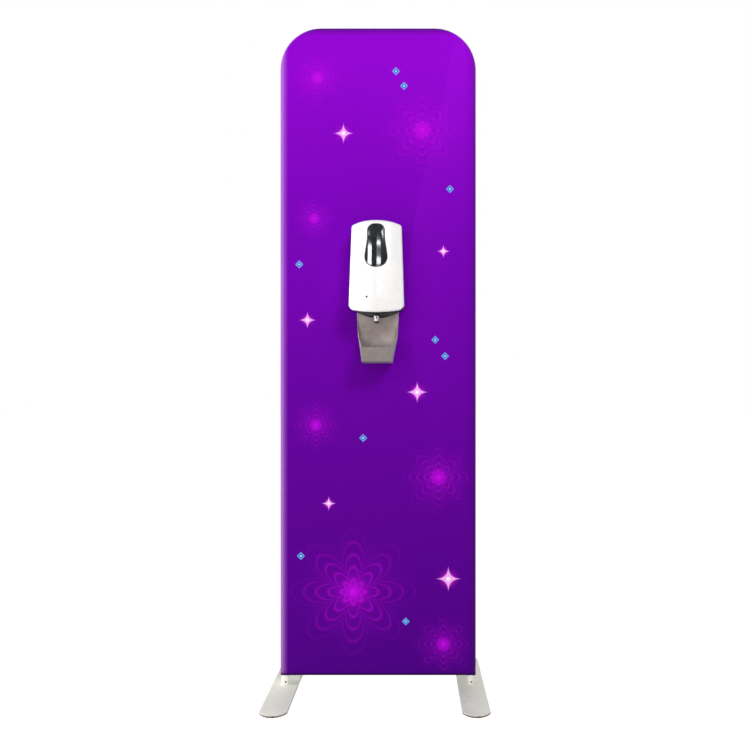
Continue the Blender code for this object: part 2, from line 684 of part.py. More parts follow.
def make_sleeve():
    """Front and back panels: the outer form less the inner one, parted at the side seam and the zip."""
    front = pillow("fabric_front", panel_outline(), CLOTH_OUTER, CLOTH_ROUND_STEPS)
    back = pillow("fabric_back", panel_outline(), CLOTH_OUTER, CLOTH_ROUND_STEPS)
    hollow = pillow("sleeve_hollow", panel_outline(), CLOTH_INNER, CLOTH_ROUND_STEPS)
    far = PANEL_WIDTH
    deep = CLOTH_OUTER + OVERRUN
    zip_low = ZIP_HEIGHT - ZIP_SLOT / 2
    zip_high = ZIP_HEIGHT + ZIP_SLOT / 2
    behind = block("cut_behind_front", (-far, -GAP / 2, zip_low), (far, deep, PANEL_TOP + OVERRUN))
    ahead = block("cut_before_back", (-far, -deep, 0), (far, GAP / 2, PANEL_TOP + OVERRUN))
    below = block("cut_below_back", (-far, -deep, 0), (far, deep, zip_low + GAP))
    slot = block("cut_zip_slot", (-ZIP_LENGTH / 2, 0, 0), (ZIP_LENGTH / 2, deep, zip_high))
    for panel, cuts in ((front, (hollow, behind)), (back, (hollow, ahead, below, slot))):
        CUTTERS.objects.unlink(panel)
        PIECES.objects.link(panel)
        panel.hide_render = False
        panel.display_type = "TEXTURED"
        panel.data.materials.append(material_of("printed cloth"))
        for cut in cuts:
            combine(panel, cut)
    for side, name in ((-1, "left"), (1, "right")):
        post = rod(f"post_hole_{name}", SPIGOT_RADIUS + GAP * 2, 0, HEM_HEIGHT, at=(side * POST_X, 0, 0))
        combine(front, post)
    for name, x, z in screw_places():
        hole = rod(f"cloth_hole_{name}", SCREW_RADIUS + GAP, -CLOTH_THICKNESS, OVERRUN,
                   at=(x, -CLOTH_INNER, z), turn=ALONG_Y, sides=BUTTON_SIDES)
        combine(front, hole)


def make_zip():
    """The tape inside the sleeve, with its row of teeth standing in the slot between the panels."""
    half = ZIP_LENGTH / 2
    inside = CLOTH_INNER - GAP
    tape = block("zip_tape", (-half, inside - ZIP_TAPE_THICKNESS, ZIP_HEIGHT - ZIP_TAPE_WIDTH / 2),
                 (half, inside, ZIP_HEIGHT + ZIP_TAPE_WIDTH / 2), "zip")
    count = int(ZIP_LENGTH / ZIP_TEETH_PITCH) - 1
    spine = ZIP_TEETH_WIDTH / 2
    outline = [(-half + GAP, -spine / 2), (half - GAP, -spine / 2)]
    for index in range(count):
        middle = half - ZIP_TEETH_PITCH * (index + 1)
        reach = ZIP_TOOTH_LENGTH / 2
        outline += [(middle + reach, spine / 2), (middle + reach, spine), (middle - reach, spine),
                    (middle - reach, spine / 2)]
    outline += [(-half + GAP, spine / 2)]
    teeth = flat("zip_teeth", [outline], ZIP_TEETH_DEPTH,
                 at=(0, inside + ZIP_TEETH_DEPTH / 2 - ZIP_TAPE_THICKNESS / 2, ZIP_HEIGHT), turn=ALONG_Y)
    combine(tape, teeth, "UNION")


def slider_x():
    return -ZIP_LENGTH / 2 + SLIDER_LENGTH


def slider_back():
    return CLOTH_OUTER + GAP + SLIDER_THICKNESS


def puller_pin_y():
    return slider_back() + LUG_REACH - LUG_HEIGHT / 2


def make_slider():
    """The slider on the teeth, with two lugs and the cross pin that carries the puller."""
    x = slider_x()
    face = CLOTH_INNER - GAP + ZIP_TEETH_DEPTH + GAP
    back = slider_back()
    long, wide, corner = SLIDER_LENGTH / 2, SLIDER_WIDTH / 2, SLIDER_WIDTH / 4
    body = rounded([(-long, -wide, corner), (long, -wide, corner), (long, wide, corner),
                    (-long, wide, corner)], 3)
    slider = flat("zip_slider", [body], back - face, "spring steel", (x, (face + back) / 2, ZIP_HEIGHT),
                  ALONG_Y)
    half = LUG_HEIGHT / 2
    for side, name in ((-1, "left"), (1, "right")):
        inner = x + side * LUG_SPAN / 2
        xs = sorted((inner, inner + side * LUG_THICKNESS))
        combine(slider, block(f"lug_{name}", (xs[0], back - GAP, ZIP_HEIGHT - half),
                              (xs[1], back + LUG_REACH, ZIP_HEIGHT + half)), "UNION")
    reach = (LUG_SPAN + LUG_THICKNESS) / 2
    combine(slider, rod("puller_pin", PULLER_PIN_RADIUS, -reach, reach, at=(x, puller_pin_y(), ZIP_HEIGHT),
                        turn=TURN_TO_X, sides=BUTTON_SIDES), "UNION")


def make_puller():
    """The puller hangs from the slider's cross pin by the tube at its top."""
    at = (slider_x(), puller_pin_y(), ZIP_HEIGHT)
    half = PULLER_WIDTH / 2
    bore = PULLER_PIN_RADIUS + PULLER_BORE_CLEARANCE
    neck = LUG_SPAN / 2 - GAP
    foot = half * PULLER_FOOT_SHARE
    outline = rounded([(-foot, -PULLER_LENGTH, half / 2), (foot, -PULLER_LENGTH, half / 2),
                       (half, -PULLER_LENGTH / 3, half / 2), (neck, -LUG_HEIGHT, 0), (neck, -bore, 0),
                       (-neck, -bore, 0), (-neck, -LUG_HEIGHT, 0), (-half, -PULLER_LENGTH / 3, half / 2)], 3)
    puller = flat("zip_puller", [outline], PULLER_THICKNESS, "spring steel", at, ALONG_Y)
    around = bore + PULLER_THICKNESS / 2
    tube = rod("puller_tube", around, -neck, neck, at=at, turn=TURN_TO_X, sides=BUTTON_SIDES)
    combine(puller, tube, "UNION")
    combine(puller, rod("puller_bore", bore, -half, half, at=at, turn=TURN_TO_X, sides=BUTTON_SIDES))


def spigot_profile(bore_top):
    """The foot's post: bored to fit over its stud, with a collar that the upright stands on."""
    low = FOOT_THICKNESS + GAP
    bore = FOOT_STUD_RADIUS + GAP
    collar = SPIGOT_RADIUS + FOOT_COLLAR_REACH
    seat = HEM_HEIGHT - GAP
    return [(0, FOOT_SPIGOT_HEIGHT), (SPIGOT_RADIUS - TUBE_WALL, FOOT_SPIGOT_HEIGHT),
            (SPIGOT_RADIUS, FOOT_SPIGOT_HEIGHT - TUBE_WALL), (SPIGOT_RADIUS, seat), (collar, seat),
            (collar, seat - FOOT_COLLAR_HEIGHT), (SPIGOT_RADIUS, seat - FOOT_COLLAR_HEIGHT),
            (SPIGOT_RADIUS, low), (bore, low), (bore, bore_top), (0, bore_top)]


def make_foot(side, name):
    """The plate with its round noses and stud, the post over the stud, and the grub screw that holds it."""
    half = FOOT_WIDTH / 2
    centre = FOOT_LENGTH / 2 - FOOT_NOSE_RADIUS
    spread = math.asin(half / FOOT_NOSE_RADIUS)
    steps = 10
    outline = []
    for end in (1, -1):
        for step in range(steps + 1):
            angle = end * math.pi / 2 + spread * (2 * step / steps - 1)
            y = end * centre + FOOT_NOSE_RADIUS * math.sin(angle)
            outline.append((FOOT_NOSE_RADIUS * math.cos(angle), y))
    x = side * POST_X
    plate = flat(f"foot_plate_{name}", [outline], FOOT_THICKNESS, "brushed foot", (x, 0, FOOT_THICKNESS / 2))
    bevel(plate, FOOT_EDGE_BEVEL)
    stud_top = FOOT_THICKNESS + FOOT_STUD_HEIGHT
    stud = rod(f"stud_{name}", FOOT_STUD_RADIUS, FOOT_THICKNESS / 2, stud_top, at=(x, 0, 0))
    combine(plate, stud, "UNION")
    post = turned(f"foot_spigot_{name}", spigot_profile(stud_top + GAP), "zinc steel", (x, 0, 0))
    turn = (math.pi / 2, 0, GRUB_TURN)
    at = (x, 0, FOOT_THICKNESS + GRUB_HEIGHT)
    inner = FOOT_STUD_RADIUS + GAP
    hole = rod(f"grub_hole_{name}", GRUB_RADIUS + GAP, inner / 2, TUBE_RADIUS + OVERRUN, at=at, turn=turn,
               sides=BUTTON_SIDES)
    combine(post, hole)
    floor = SPIGOT_RADIUS - GRUB_SOCKET_DEPTH
    profile = [(0, floor), (GRUB_SOCKET_RADIUS, floor), (GRUB_SOCKET_RADIUS, SPIGOT_RADIUS),
               (GRUB_RADIUS, SPIGOT_RADIUS), (GRUB_RADIUS, inner), (0, inner)]
    turned(f"foot_screw_{name}", profile, "dark screw", at, turn, BUTTON_SIDES)


def make_feet():
    for side, name in ((-1, "left"), (1, "right")):
        make_foot(side, name)


def dome_at(x):
    """Height of the hood's top at this distance from the middle."""
    return COVER_TOP - COVER_DOME * (x / COVER_TOP_HALF) ** 2


def hem_at(x):
    """Height of the hood's lower edge: a shallow smile with rounded toes."""
    inner = COVER_BOTTOM_HALF - COVER_TOE
    past = min(max(abs(x) - inner, 0), COVER_TOE)
    toe = COVER_TOE - math.sqrt(COVER_TOE ** 2 - past ** 2)
    return COVER_BOTTOM + COVER_SMILE * (x / COVER_BOTTOM_HALF) ** 2 + toe


def hood_plan(share):
    """The hood in plan at this share of its height, from its left back edge round to its right one: points
    set in by the rounding, each with its outward direction."""
    half = COVER_BOTTOM_HALF + share * (COVER_TOP_HALF - COVER_BOTTOM_HALF)
    front = COVER_FRONT_BOTTOM + share * (COVER_FRONT_TOP - COVER_FRONT_BOTTOM)
    lean = math.atan(2 * COVER_CROWN / half)
    reach = half - COVER_ROUNDING * (1 - math.sin(lean))
    places = []
    for column in range(COVER_COLUMNS + 1):
        x = reach * (2 * column / COVER_COLUMNS - 1)
        angle = math.atan(2 * COVER_CROWN * x / half ** 2)
        way = (math.sin(angle), -math.cos(angle))
        y = -(front - COVER_CROWN * (x / half) ** 2)
        places.append((x - COVER_ROUNDING * way[0], y - COVER_ROUNDING * way[1], way))
    x, y, way = places[-1]
    first = math.atan2(way[1], way[0])
    corner = []
    for step in range(1, COVER_ROUND_STEPS + 1):
        angle = first * (1 - step / COVER_ROUND_STEPS)
        corner.append((x, y, (math.cos(angle), math.sin(angle))))
    right = corner + [(x, COVER_BACK, (1, 0))]
    left = [(-x, y, (-way[0], way[1])) for x, y, way in reversed(right)]
    return left + places + right


def cover_form(name, finish, wall):
    """The moulded hood: a grid wrapped round its plan, rounded at the rim and drawn in over the dome to the
    middle of its back edge, with its wall added inwards."""
    low, high = hood_plan(0), hood_plan(1)
    rows = [[(x + COVER_ROUNDING * way[0], y + COVER_ROUNDING * way[1], hem_at(x + COVER_ROUNDING * way[0]))
             for x, y, way in low]]
    for step in range(COVER_ROUND_STEPS + 1):
        angle = math.pi / 2 * step / COVER_ROUND_STEPS
        out = COVER_ROUNDING * math.cos(angle)
        drop = COVER_ROUNDING * (1 - math.sin(angle))
        rows.append([(x + out * way[0], y + out * way[1], dome_at(x) - drop) for x, y, way in high])
    for row in range(1, COVER_CROWN_ROWS + 1):
        keep = 1 - row / COVER_CROWN_ROWS
        rows.append([(x * keep, COVER_BACK + (y - COVER_BACK) * keep, dome_at(x * keep))
                     for x, y, way in high])
    form = bmesh.new()
    bmesh.ops.create_grid(form, x_segments=len(low) - 1, y_segments=len(rows) - 1, size=1)
    form.verts.ensure_lookup_table()
    for vert, place in zip(form.verts, [place for row in rows for place in row]):
        vert.co = place
    bmesh.ops.remove_doubles(form, verts=form.verts, dist=GAP / 3)
    mesh = bpy.data.meshes.new(name)
    form.to_mesh(mesh)
    form.free()
    made = add_object(name, mesh, finish)
    thick = made.modifiers.new("wall", "SOLIDIFY")
    thick.thickness = wall
    thick.offset = -1
    thick.use_even_offset = True
    return made


def window_outline(clearance):
    head = WINDOW_HEAD_HALF - clearance
    foot = WINDOW_FOOT_HALF - clearance
    top = WINDOW_TOP - clearance
    bottom = WINDOW_BOTTOM + clearance
    return rounded([(-foot, bottom, WINDOW_FOOT_ROUNDING), (foot, bottom, WINDOW_FOOT_ROUNDING),
                    (foot, WINDOW_SWELL_HEIGHT, WINDOW_FOOT_ROUNDING),
                    (head, WINDOW_NECK_HEIGHT, WINDOW_NECK_ROUNDING), (head, top, WINDOW_HEAD_ROUNDING),
                    (-head, top, WINDOW_HEAD_ROUNDING), (-head, WINDOW_NECK_HEIGHT, WINDOW_NECK_ROUNDING),
                    (-foot, WINDOW_SWELL_HEIGHT, WINDOW_FOOT_ROUNDING)], 5)


def front_y_at(x, z):
    """The hood's outer front face, as a distance along -Y."""
    share = (z - COVER_BOTTOM) / (COVER_SHOULDER - COVER_BOTTOM)
    half = COVER_BOTTOM_HALF + share * (COVER_TOP_HALF - COVER_BOTTOM_HALF)
    front = COVER_FRONT_BOTTOM + share * (COVER_FRONT_TOP - COVER_FRONT_BOTTOM)
    return front - COVER_CROWN * (x / half) ** 2


def make_cover():
    cover = cover_form("dispenser_cover", "white plastic", COVER_WALL)
    depth = COVER_FRONT_BOTTOM
    middle = -depth
    combine(cover, flat("window_cut", [window_outline(0)], depth, at=(0, middle, 0), turn=ALONG_Y))
    window = cover_form("dispenser_window", "smoked window", WINDOW_WALL)
    pane = flat("window_form", [window_outline(GAP)], depth, at=(0, middle, 0), turn=ALONG_Y)
    combine(window, pane, "INTERSECT")
    face = front_y_at(INDICATOR_X, INDICATOR_HEIGHT)
    at = (INDICATOR_X, -face, INDICATOR_HEIGHT)
    combine(cover, rod("indicator_hole", INDICATOR_RADIUS + GAP, -OVERRUN, OVERRUN, at=at, turn=ALONG_Y,
                       sides=BUTTON_SIDES))
    back = -COVER_WALL - INDICATOR_SEAT
    flange = INDICATOR_RADIUS + INDICATOR_FLANGE
    lens = [(0, 0), (INDICATOR_RADIUS * INDICATOR_FACE_SHARE, 0), (INDICATOR_RADIUS, -GAP),
            (INDICATOR_RADIUS, back), (flange, back), (flange, -INDICATOR_DEPTH),
            (0, -INDICATOR_DEPTH)]
    turned("indicator_lamp", lens, "smoked window", at, ALONG_Y, BUTTON_SIDES)
    make_lock(cover)
    cut_hinge(cover)


def cut_hinge(cover):
    """Bores for the base's pins, and lower back corners cut to the knuckle, so the hood clears the base."""
    far = COVER_BOTTOM_HALF + OVERRUN
    low = COVER_BOTTOM - OVERRUN
    combine(cover, rod("pin_bores", HINGE_PIN_RADIUS + HINGE_PIN_CLEARANCE, -far, far,
                       at=(0, HINGE_Y, HINGE_HEIGHT), turn=TURN_TO_X, sides=BUTTON_SIDES))
    corner = block("knuckle_corner", (-far, HINGE_Y + GAP, low), (far, COVER_BACK + OVERRUN, HINGE_HEIGHT))
    knuckle = rod("knuckle_round", KNUCKLE_RADIUS, -far - OVERRUN, far + OVERRUN,
                  at=(0, HINGE_Y, HINGE_HEIGHT), turn=TURN_TO_X, sides=BUTTON_SIDES)
    combine(corner, knuckle)
    combine(cover, corner)


def lock_place():
    y = COVER_BACK - LOCK_SETBACK
    return (0, y, COVER_TOP)


def make_lock(cover):
    at = lock_place()
    combine(cover, rod("lock_hole", LOCK_RADIUS + GAP, -OVERRUN, OVERRUN, at=at, sides=BUTTON_SIDES * 2))
    top = LOCK_HEAD_HEIGHT
    cam_top = -LOCK_STEM_DEPTH
    profile = [(0, top), (LOCK_RADIUS - GAP * 3, top), (LOCK_RADIUS, top - GAP * 3), (LOCK_RADIUS, cam_top),
               (0, cam_top)]
    lock = turned("cover_lock", profile, "zinc steel", at, ALONG_Z, BUTTON_SIDES * 2)
    half = LOCK_CAM_WIDTH / 2
    cam = block("lock_cam", (-half, at[1] - half, at[2] + cam_top - LOCK_CAM_THICKNESS),
                (half, at[1] + LOCK_CAM_LENGTH, at[2] + cam_top + GAP))
    combine(lock, cam, "UNION")
    slot = LOCK_SLOT_WIDTH / 2
    reach = LOCK_RADIUS / 2
    combine(lock, block("key_slot", (-reach, at[1] - slot, at[2] + top - LOCK_HEAD_HEIGHT),
                        (reach, at[1] + slot, at[2] + top + OVERRUN)))


def base_outline(inset):
    """The base as seen from the front: the hood's own outline, a little smaller."""
    top_half = COVER_TOP_HALF - inset
    low_half = COVER_BOTTOM_HALF - inset
    low = BASE_BOTTOM + inset
    corner = COVER_ROUNDING - inset
    corners = [(-low_half, low, corner), (low_half, low, corner)]
    for step in range(COVER_COLUMNS + 1):
        across = 1 - 2 * step / COVER_COLUMNS
        radius = corner if abs(across) == 1 else 0
        corners.append((top_half * across, COVER_TOP - COVER_DOME * across ** 2 - inset, radius))
    return rounded(corners)


def make_base():
    """The black back: a flat with a rim above the hinge, and ears that carry the hinge pins."""
    edge = GAP * 3
    base = flat("dispenser_base", [base_outline(edge)], BASE_DEPTH, "black plastic",
                (0, (BASE_BACK + BASE_FRONT) / 2, 0), ALONG_Y)
    floor = BASE_BACK - BASE_WALL
    pocket_middle = (floor + BASE_FRONT - OVERRUN) / 2
    combine(base, flat("base_pocket", [base_outline(edge + BASE_WALL)], floor - BASE_FRONT + OVERRUN,
                       at=(0, pocket_middle, 0), turn=ALONG_Y))
    far = COVER_BOTTOM_HALF + OVERRUN
    combine(base, block("base_skirt_cut", (-far, BASE_FRONT - OVERRUN, COVER_BOTTOM - OVERRUN),
                        (far, floor, BASE_SKIRT_TOP)))
    for name, x, z in screw_places():
        combine(base, rod(f"base_hole_{name}", SCREW_RADIUS + GAP, -OVERRUN, OVERRUN, at=(x, BASE_BACK, z),
                          turn=ALONG_Y, sides=BUTTON_SIDES))
    make_keeper(base, floor)
    for side, name in ((-1, "left"), (1, "right")):
        middle = side * EAR_HALF
        ear = flat(f"hinge_ear_{name}", [ear_outline(floor)], EAR_THICKNESS, at=(middle, 0, 0), turn=ALONG_X)
        pin = rod(f"hinge_pin_{name}", HINGE_PIN_RADIUS, 0, HINGE_PIN_END_HALF - EAR_HALF,
                  at=(middle, HINGE_Y, HINGE_HEIGHT), turn=(0, side * math.pi / 2, 0), sides=BUTTON_SIDES)
        combine(ear, pin, "UNION")
        combine(base, ear, "UNION")


def make_keeper(base, floor):
    """The hook that the lock's cam turns in behind: an arm forward from the floor, with a tab down."""
    x = LOCK_RADIUS + GAP * 2
    cam_high = COVER_TOP - LOCK_STEM_DEPTH
    cam_front = lock_place()[1] - LOCK_CAM_WIDTH / 2
    arm_low = cam_high + KEEPER_PLAY
    tab_back = cam_front - KEEPER_PLAY
    tab_front = tab_back - KEEPER_THICKNESS
    root = floor + BASE_WALL / 2
    outline = [(root, arm_low), (root, arm_low + KEEPER_THICKNESS), (tab_front, arm_low + KEEPER_THICKNESS),
               (tab_front, cam_high - LOCK_CAM_THICKNESS), (tab_back, cam_high - LOCK_CAM_THICKNESS),
               (tab_back, arm_low)]
    keeper = flat("lock_keeper", [outline], KEEPER_WIDTH, at=(x + KEEPER_WIDTH / 2, 0, 0), turn=ALONG_X)
    combine(base, keeper, "UNION")


def ear_outline(floor):
    """A lug from the base's floor to a round end about the hinge axis, in (y, z)."""
    angles = [math.pi / 2 + math.pi * step / 6 for step in range(7)]
    nose = [(HINGE_Y + EAR_RADIUS * math.cos(a), HINGE_HEIGHT + EAR_RADIUS * math.sin(a)) for a in angles]
    root = floor + BASE_WALL / 2
    return [(root, HINGE_HEIGHT + EAR_RADIUS)] + nose + [(root, HINGE_HEIGHT - EAR_RADIUS)]


def case_outline():
    """The drive case in plan: straight back, short sides and a crowned front."""
    steps = 10
    outline = []
    for step in range(steps + 1):
        across = 2 * step / steps - 1
        outline.append((CASE_HALF * across, -(CASE_FRONT - CASE_CROWN * across ** 2)))
    return outline + [(CASE_HALF, CASE_BACK), (-CASE_HALF, CASE_BACK)]


def make_case():
    """The drive case under the bottle: its bottom edge is an arc, as the dark crescent shows."""
    rise = CASE_SMILE
    radius = (CASE_HALF ** 2 + rise ** 2) / (2 * rise)
    height = CASE_TOP - CASE_BOTTOM
    middle = (CASE_TOP + CASE_BOTTOM) / 2
    case = flat("drive_case", [case_outline()], height, "black plastic", (0, 0, middle))
    bowl = rod("case_smile", radius, -CASE_FRONT - OVERRUN, CASE_FRONT, at=(0, 0, CASE_BOTTOM + radius),
               turn=ALONG_Y, sides=96)
    combine(case, bowl, "INTERSECT")
    seat = rod("cap_seat", CAP_RADIUS + GAP, CASE_TOP - CAP_HEIGHT / 2, CASE_TOP + OVERRUN,
               at=(0, -BOTTLE_SETBACK, 0))
    combine(case, seat)
    make_nozzle(case)
    make_sensor(case)
    make_switch(case)
    make_battery_bay(case)


def make_nozzle(case):
    """The soft nozzle: a collar, a spout that swells downwards, and a drilled ring below its groove."""
    y = -(CASE_FRONT - NOZZLE_SETBACK)
    top = CASE_BOTTOM + NOZZLE_COLLAR_HEIGHT
    low = CASE_BOTTOM - NOZZLE_DROP
    combine(case, rod("nozzle_seat", NOZZLE_RADIUS + GAP, -OVERRUN, top + GAP, at=(0, y, 0)))
    ring = low + NOZZLE_RING_HEIGHT
    collar = CASE_BOTTOM - NOZZLE_COLLAR_HEIGHT
    groove = NOZZLE_BELL_RADIUS - NOZZLE_GROOVE
    profile = [(0, top), (NOZZLE_RADIUS, top), (NOZZLE_RADIUS, CASE_BOTTOM - GAP),
               (NOZZLE_COLLAR_RADIUS, CASE_BOTTOM - GAP), (NOZZLE_COLLAR_RADIUS, collar),
               (NOZZLE_NECK_RADIUS, collar - GAP), (NOZZLE_BELL_RADIUS, ring + NOZZLE_GROOVE * 3),
               (NOZZLE_BELL_RADIUS, ring + NOZZLE_GROOVE), (groove, ring + NOZZLE_GROOVE), (groove, ring),
               (NOZZLE_RING_RADIUS, ring - NOZZLE_GROOVE), (NOZZLE_RING_RADIUS, low),
               (NOZZLE_BORE_RADIUS, low), (NOZZLE_BORE_RADIUS, low + NOZZLE_BORE_DEPTH),
               (0, low + NOZZLE_BORE_DEPTH)]
    turned("nozzle", profile, "white plastic", (0, y, 0), sides=16)


def underside_at(x):
    """Height of the case's arched bottom at this distance from the middle."""
    radius = (CASE_HALF ** 2 + CASE_SMILE ** 2) / (2 * CASE_SMILE)
    return CASE_BOTTOM + radius - math.sqrt(radius ** 2 - x ** 2)


def make_sensor(case):
    """The infrared window, set in a recess behind the nozzle."""
    y = -(CASE_FRONT - SENSOR_SETBACK)
    half = SENSOR_WIDTH / 2
    deep = SENSOR_DEPTH / 2
    top = CASE_BOTTOM + SENSOR_RECESS
    combine(case, block("sensor_recess", (-half - GAP, y - deep - GAP, CASE_BOTTOM - OVERRUN),
                        (half + GAP, y + deep + GAP, top + GAP)))
    low = CASE_BOTTOM + SENSOR_RECESS - SENSOR_DROP
    outline = rounded([(-half, -deep, deep / 3), (half, -deep, deep / 3), (half, deep, deep / 3),
                       (-half, deep, deep / 3)], 3)
    lens = flat("sensor_lens", [outline], top - low, "smoked window", (0, y, (top + low) / 2))
    bevel(lens, GAP * 2)


def make_switch(case):
    """The power switch: a ribbed slide in a slot of the underside."""
    y = -SWITCH_BACKSET
    face = underside_at(SWITCH_X)
    half = SWITCH_SLOT_LENGTH / 2
    wide = SWITCH_SLOT_WIDTH / 2
    slot_top = face + SWITCH_SINK
    combine(case, block("switch_slot", (SWITCH_X - half, y - wide, CASE_BOTTOM - OVERRUN),
                        (SWITCH_X + half, y + wide, slot_top)))
    length = SWITCH_SLOT_LENGTH - SWITCH_TRAVEL - 2 * GAP
    low_x = SWITCH_X - half + GAP
    low_z = face - SWITCH_PROUD
    rib = length / 7
    outline = [(0, slot_top - GAP), (0, low_z)]
    groove = low_z + rib / 2
    for index in range(3):
        start = rib * (2 * index + 1)
        outline += [(start, low_z), (start, groove), (start + rib, groove), (start + rib, low_z)]
    outline += [(length, low_z), (length, slot_top - GAP)]
    flat("power_switch", [outline], SWITCH_SLOT_WIDTH - 2 * GAP, "gray plastic", (low_x, y, 0), ALONG_Y)


def make_battery_bay(case):
    """The bay for four cells, open below, its ribbed lid with a locating rim, and the cells in it."""
    x = BAY_LENGTH / 2
    low_y, high_y = -BAY_BACKSET - BAY_WIDTH, -BAY_BACKSET
    middle_y = (low_y + high_y) / 2
    face = underside_at(x + LID_MARGIN)
    lid_top = face + LID_THICKNESS
    cells_low = lid_top + LID_RIM_HEIGHT + GAP
    step = 2 * CELL_RADIUS - CELL_OVERLAP
    bay_top = cells_low + 2 * CELL_RADIUS + step + BAY_ROOM
    combine(case, block("battery_bay", (-x, low_y, CASE_BOTTOM - OVERRUN), (x, high_y, bay_top)))
    edge = LID_MARGIN
    combine(case, block("lid_seat", (-x - edge - GAP, low_y - edge - GAP, CASE_BOTTOM - OVERRUN),
                        (x + edge + GAP, high_y + GAP, lid_top + GAP)))
    lid = block("battery_lid", (-x - edge, low_y - edge, face), (x + edge, high_y, lid_top), "black plastic")
    wall = LID_RIM_WALL
    combine(lid, block("lid_rim", (-x + GAP, low_y + GAP, face + LID_THICKNESS / 2),
                       (x - GAP, high_y - GAP, lid_top + LID_RIM_HEIGHT)), "UNION")
    combine(lid, block("lid_hollow", (-x + wall, low_y + wall, lid_top),
                       (x - wall, high_y - wall, lid_top + OVERRUN)))
    for index in range(LID_RIB_COUNT):
        rib_x = (index - (LID_RIB_COUNT - 1) / 2) * LID_RIB_PITCH
        combine(lid, block(f"lid_rib_{index}", (rib_x - LID_RIB_WIDTH / 2, low_y, face - LID_RIB_HEIGHT),
                           (rib_x + LID_RIB_WIDTH / 2, high_y - edge, face + LID_THICKNESS / 2)), "UNION")
    make_cells(middle_y, cells_low + CELL_RADIUS, step)


def make_cells(middle_y, low_z, step):
    """Two layers of two cells, laid side by side, each one facing the other way from its neighbour."""
    places = [(row, layer) for layer in (0, 1) for row in (-1, 1)]
    pack = None
    half = CELL_LENGTH / 2
    nib = half + CELL_NIB_HEIGHT
    profile = [(0, nib), (CELL_NIB_RADIUS, nib), (CELL_NIB_RADIUS, half), (CELL_RADIUS, half),
               (CELL_RADIUS, -half), (0, -half)]
    for row, layer in places:
        way = row if layer else -row
        at = (0, middle_y + row * step / 2, low_z + layer * step)
        turn = (0, way * math.pi / 2, 0)
        name = "battery_pack" if pack is None else f"cell_{row}_{layer}"
        cell = turned(name, profile, None if pack else "zinc steel", at, turn, BUTTON_SIDES)
        if pack:
            combine(pack, cell, "UNION")
        else:
            pack = cell


def make_bottle():
    """The sealed refill stands neck down in its ribbed pump cap."""
    cap_low = CASE_TOP - CAP_HEIGHT / 2 + GAP
    neck = cap_low + CAP_HEIGHT + GAP
    shoulder = neck + BOTTLE_NECK_HEIGHT
    body = shoulder + BOTTLE_SHOULDER
    top = body + BOTTLE_HEIGHT
    narrow, drop = SHOULDER_SHARES
    profile = [(0, top), (BOTTLE_RADIUS - BOTTLE_EDGE, top), (BOTTLE_RADIUS, top - BOTTLE_EDGE),
               (BOTTLE_RADIUS, body), (BOTTLE_RADIUS * narrow, body - BOTTLE_SHOULDER * drop),
               (BOTTLE_NECK_RADIUS, shoulder), (BOTTLE_NECK_RADIUS, neck), (0, neck)]
    turned("refill_bottle", profile, "clear bottle", (0, -BOTTLE_SETBACK, 0))
    outline = []
    crest, fall, rise = CAP_RIB_SHARES
    root = CAP_RADIUS - CAP_RIB_DEPTH
    for rib in range(CAP_RIBS):
        for share, radius in ((0, CAP_RADIUS), (crest, CAP_RADIUS), (fall, root), (rise, root)):
            angle = 2 * math.pi * (rib + share) / CAP_RIBS
            outline.append((radius * math.cos(angle), radius * math.sin(angle)))
    flat("pump_cap", [outline], CAP_HEIGHT, "gray plastic", (0, -BOTTLE_SETBACK, cap_low + CAP_HEIGHT / 2))


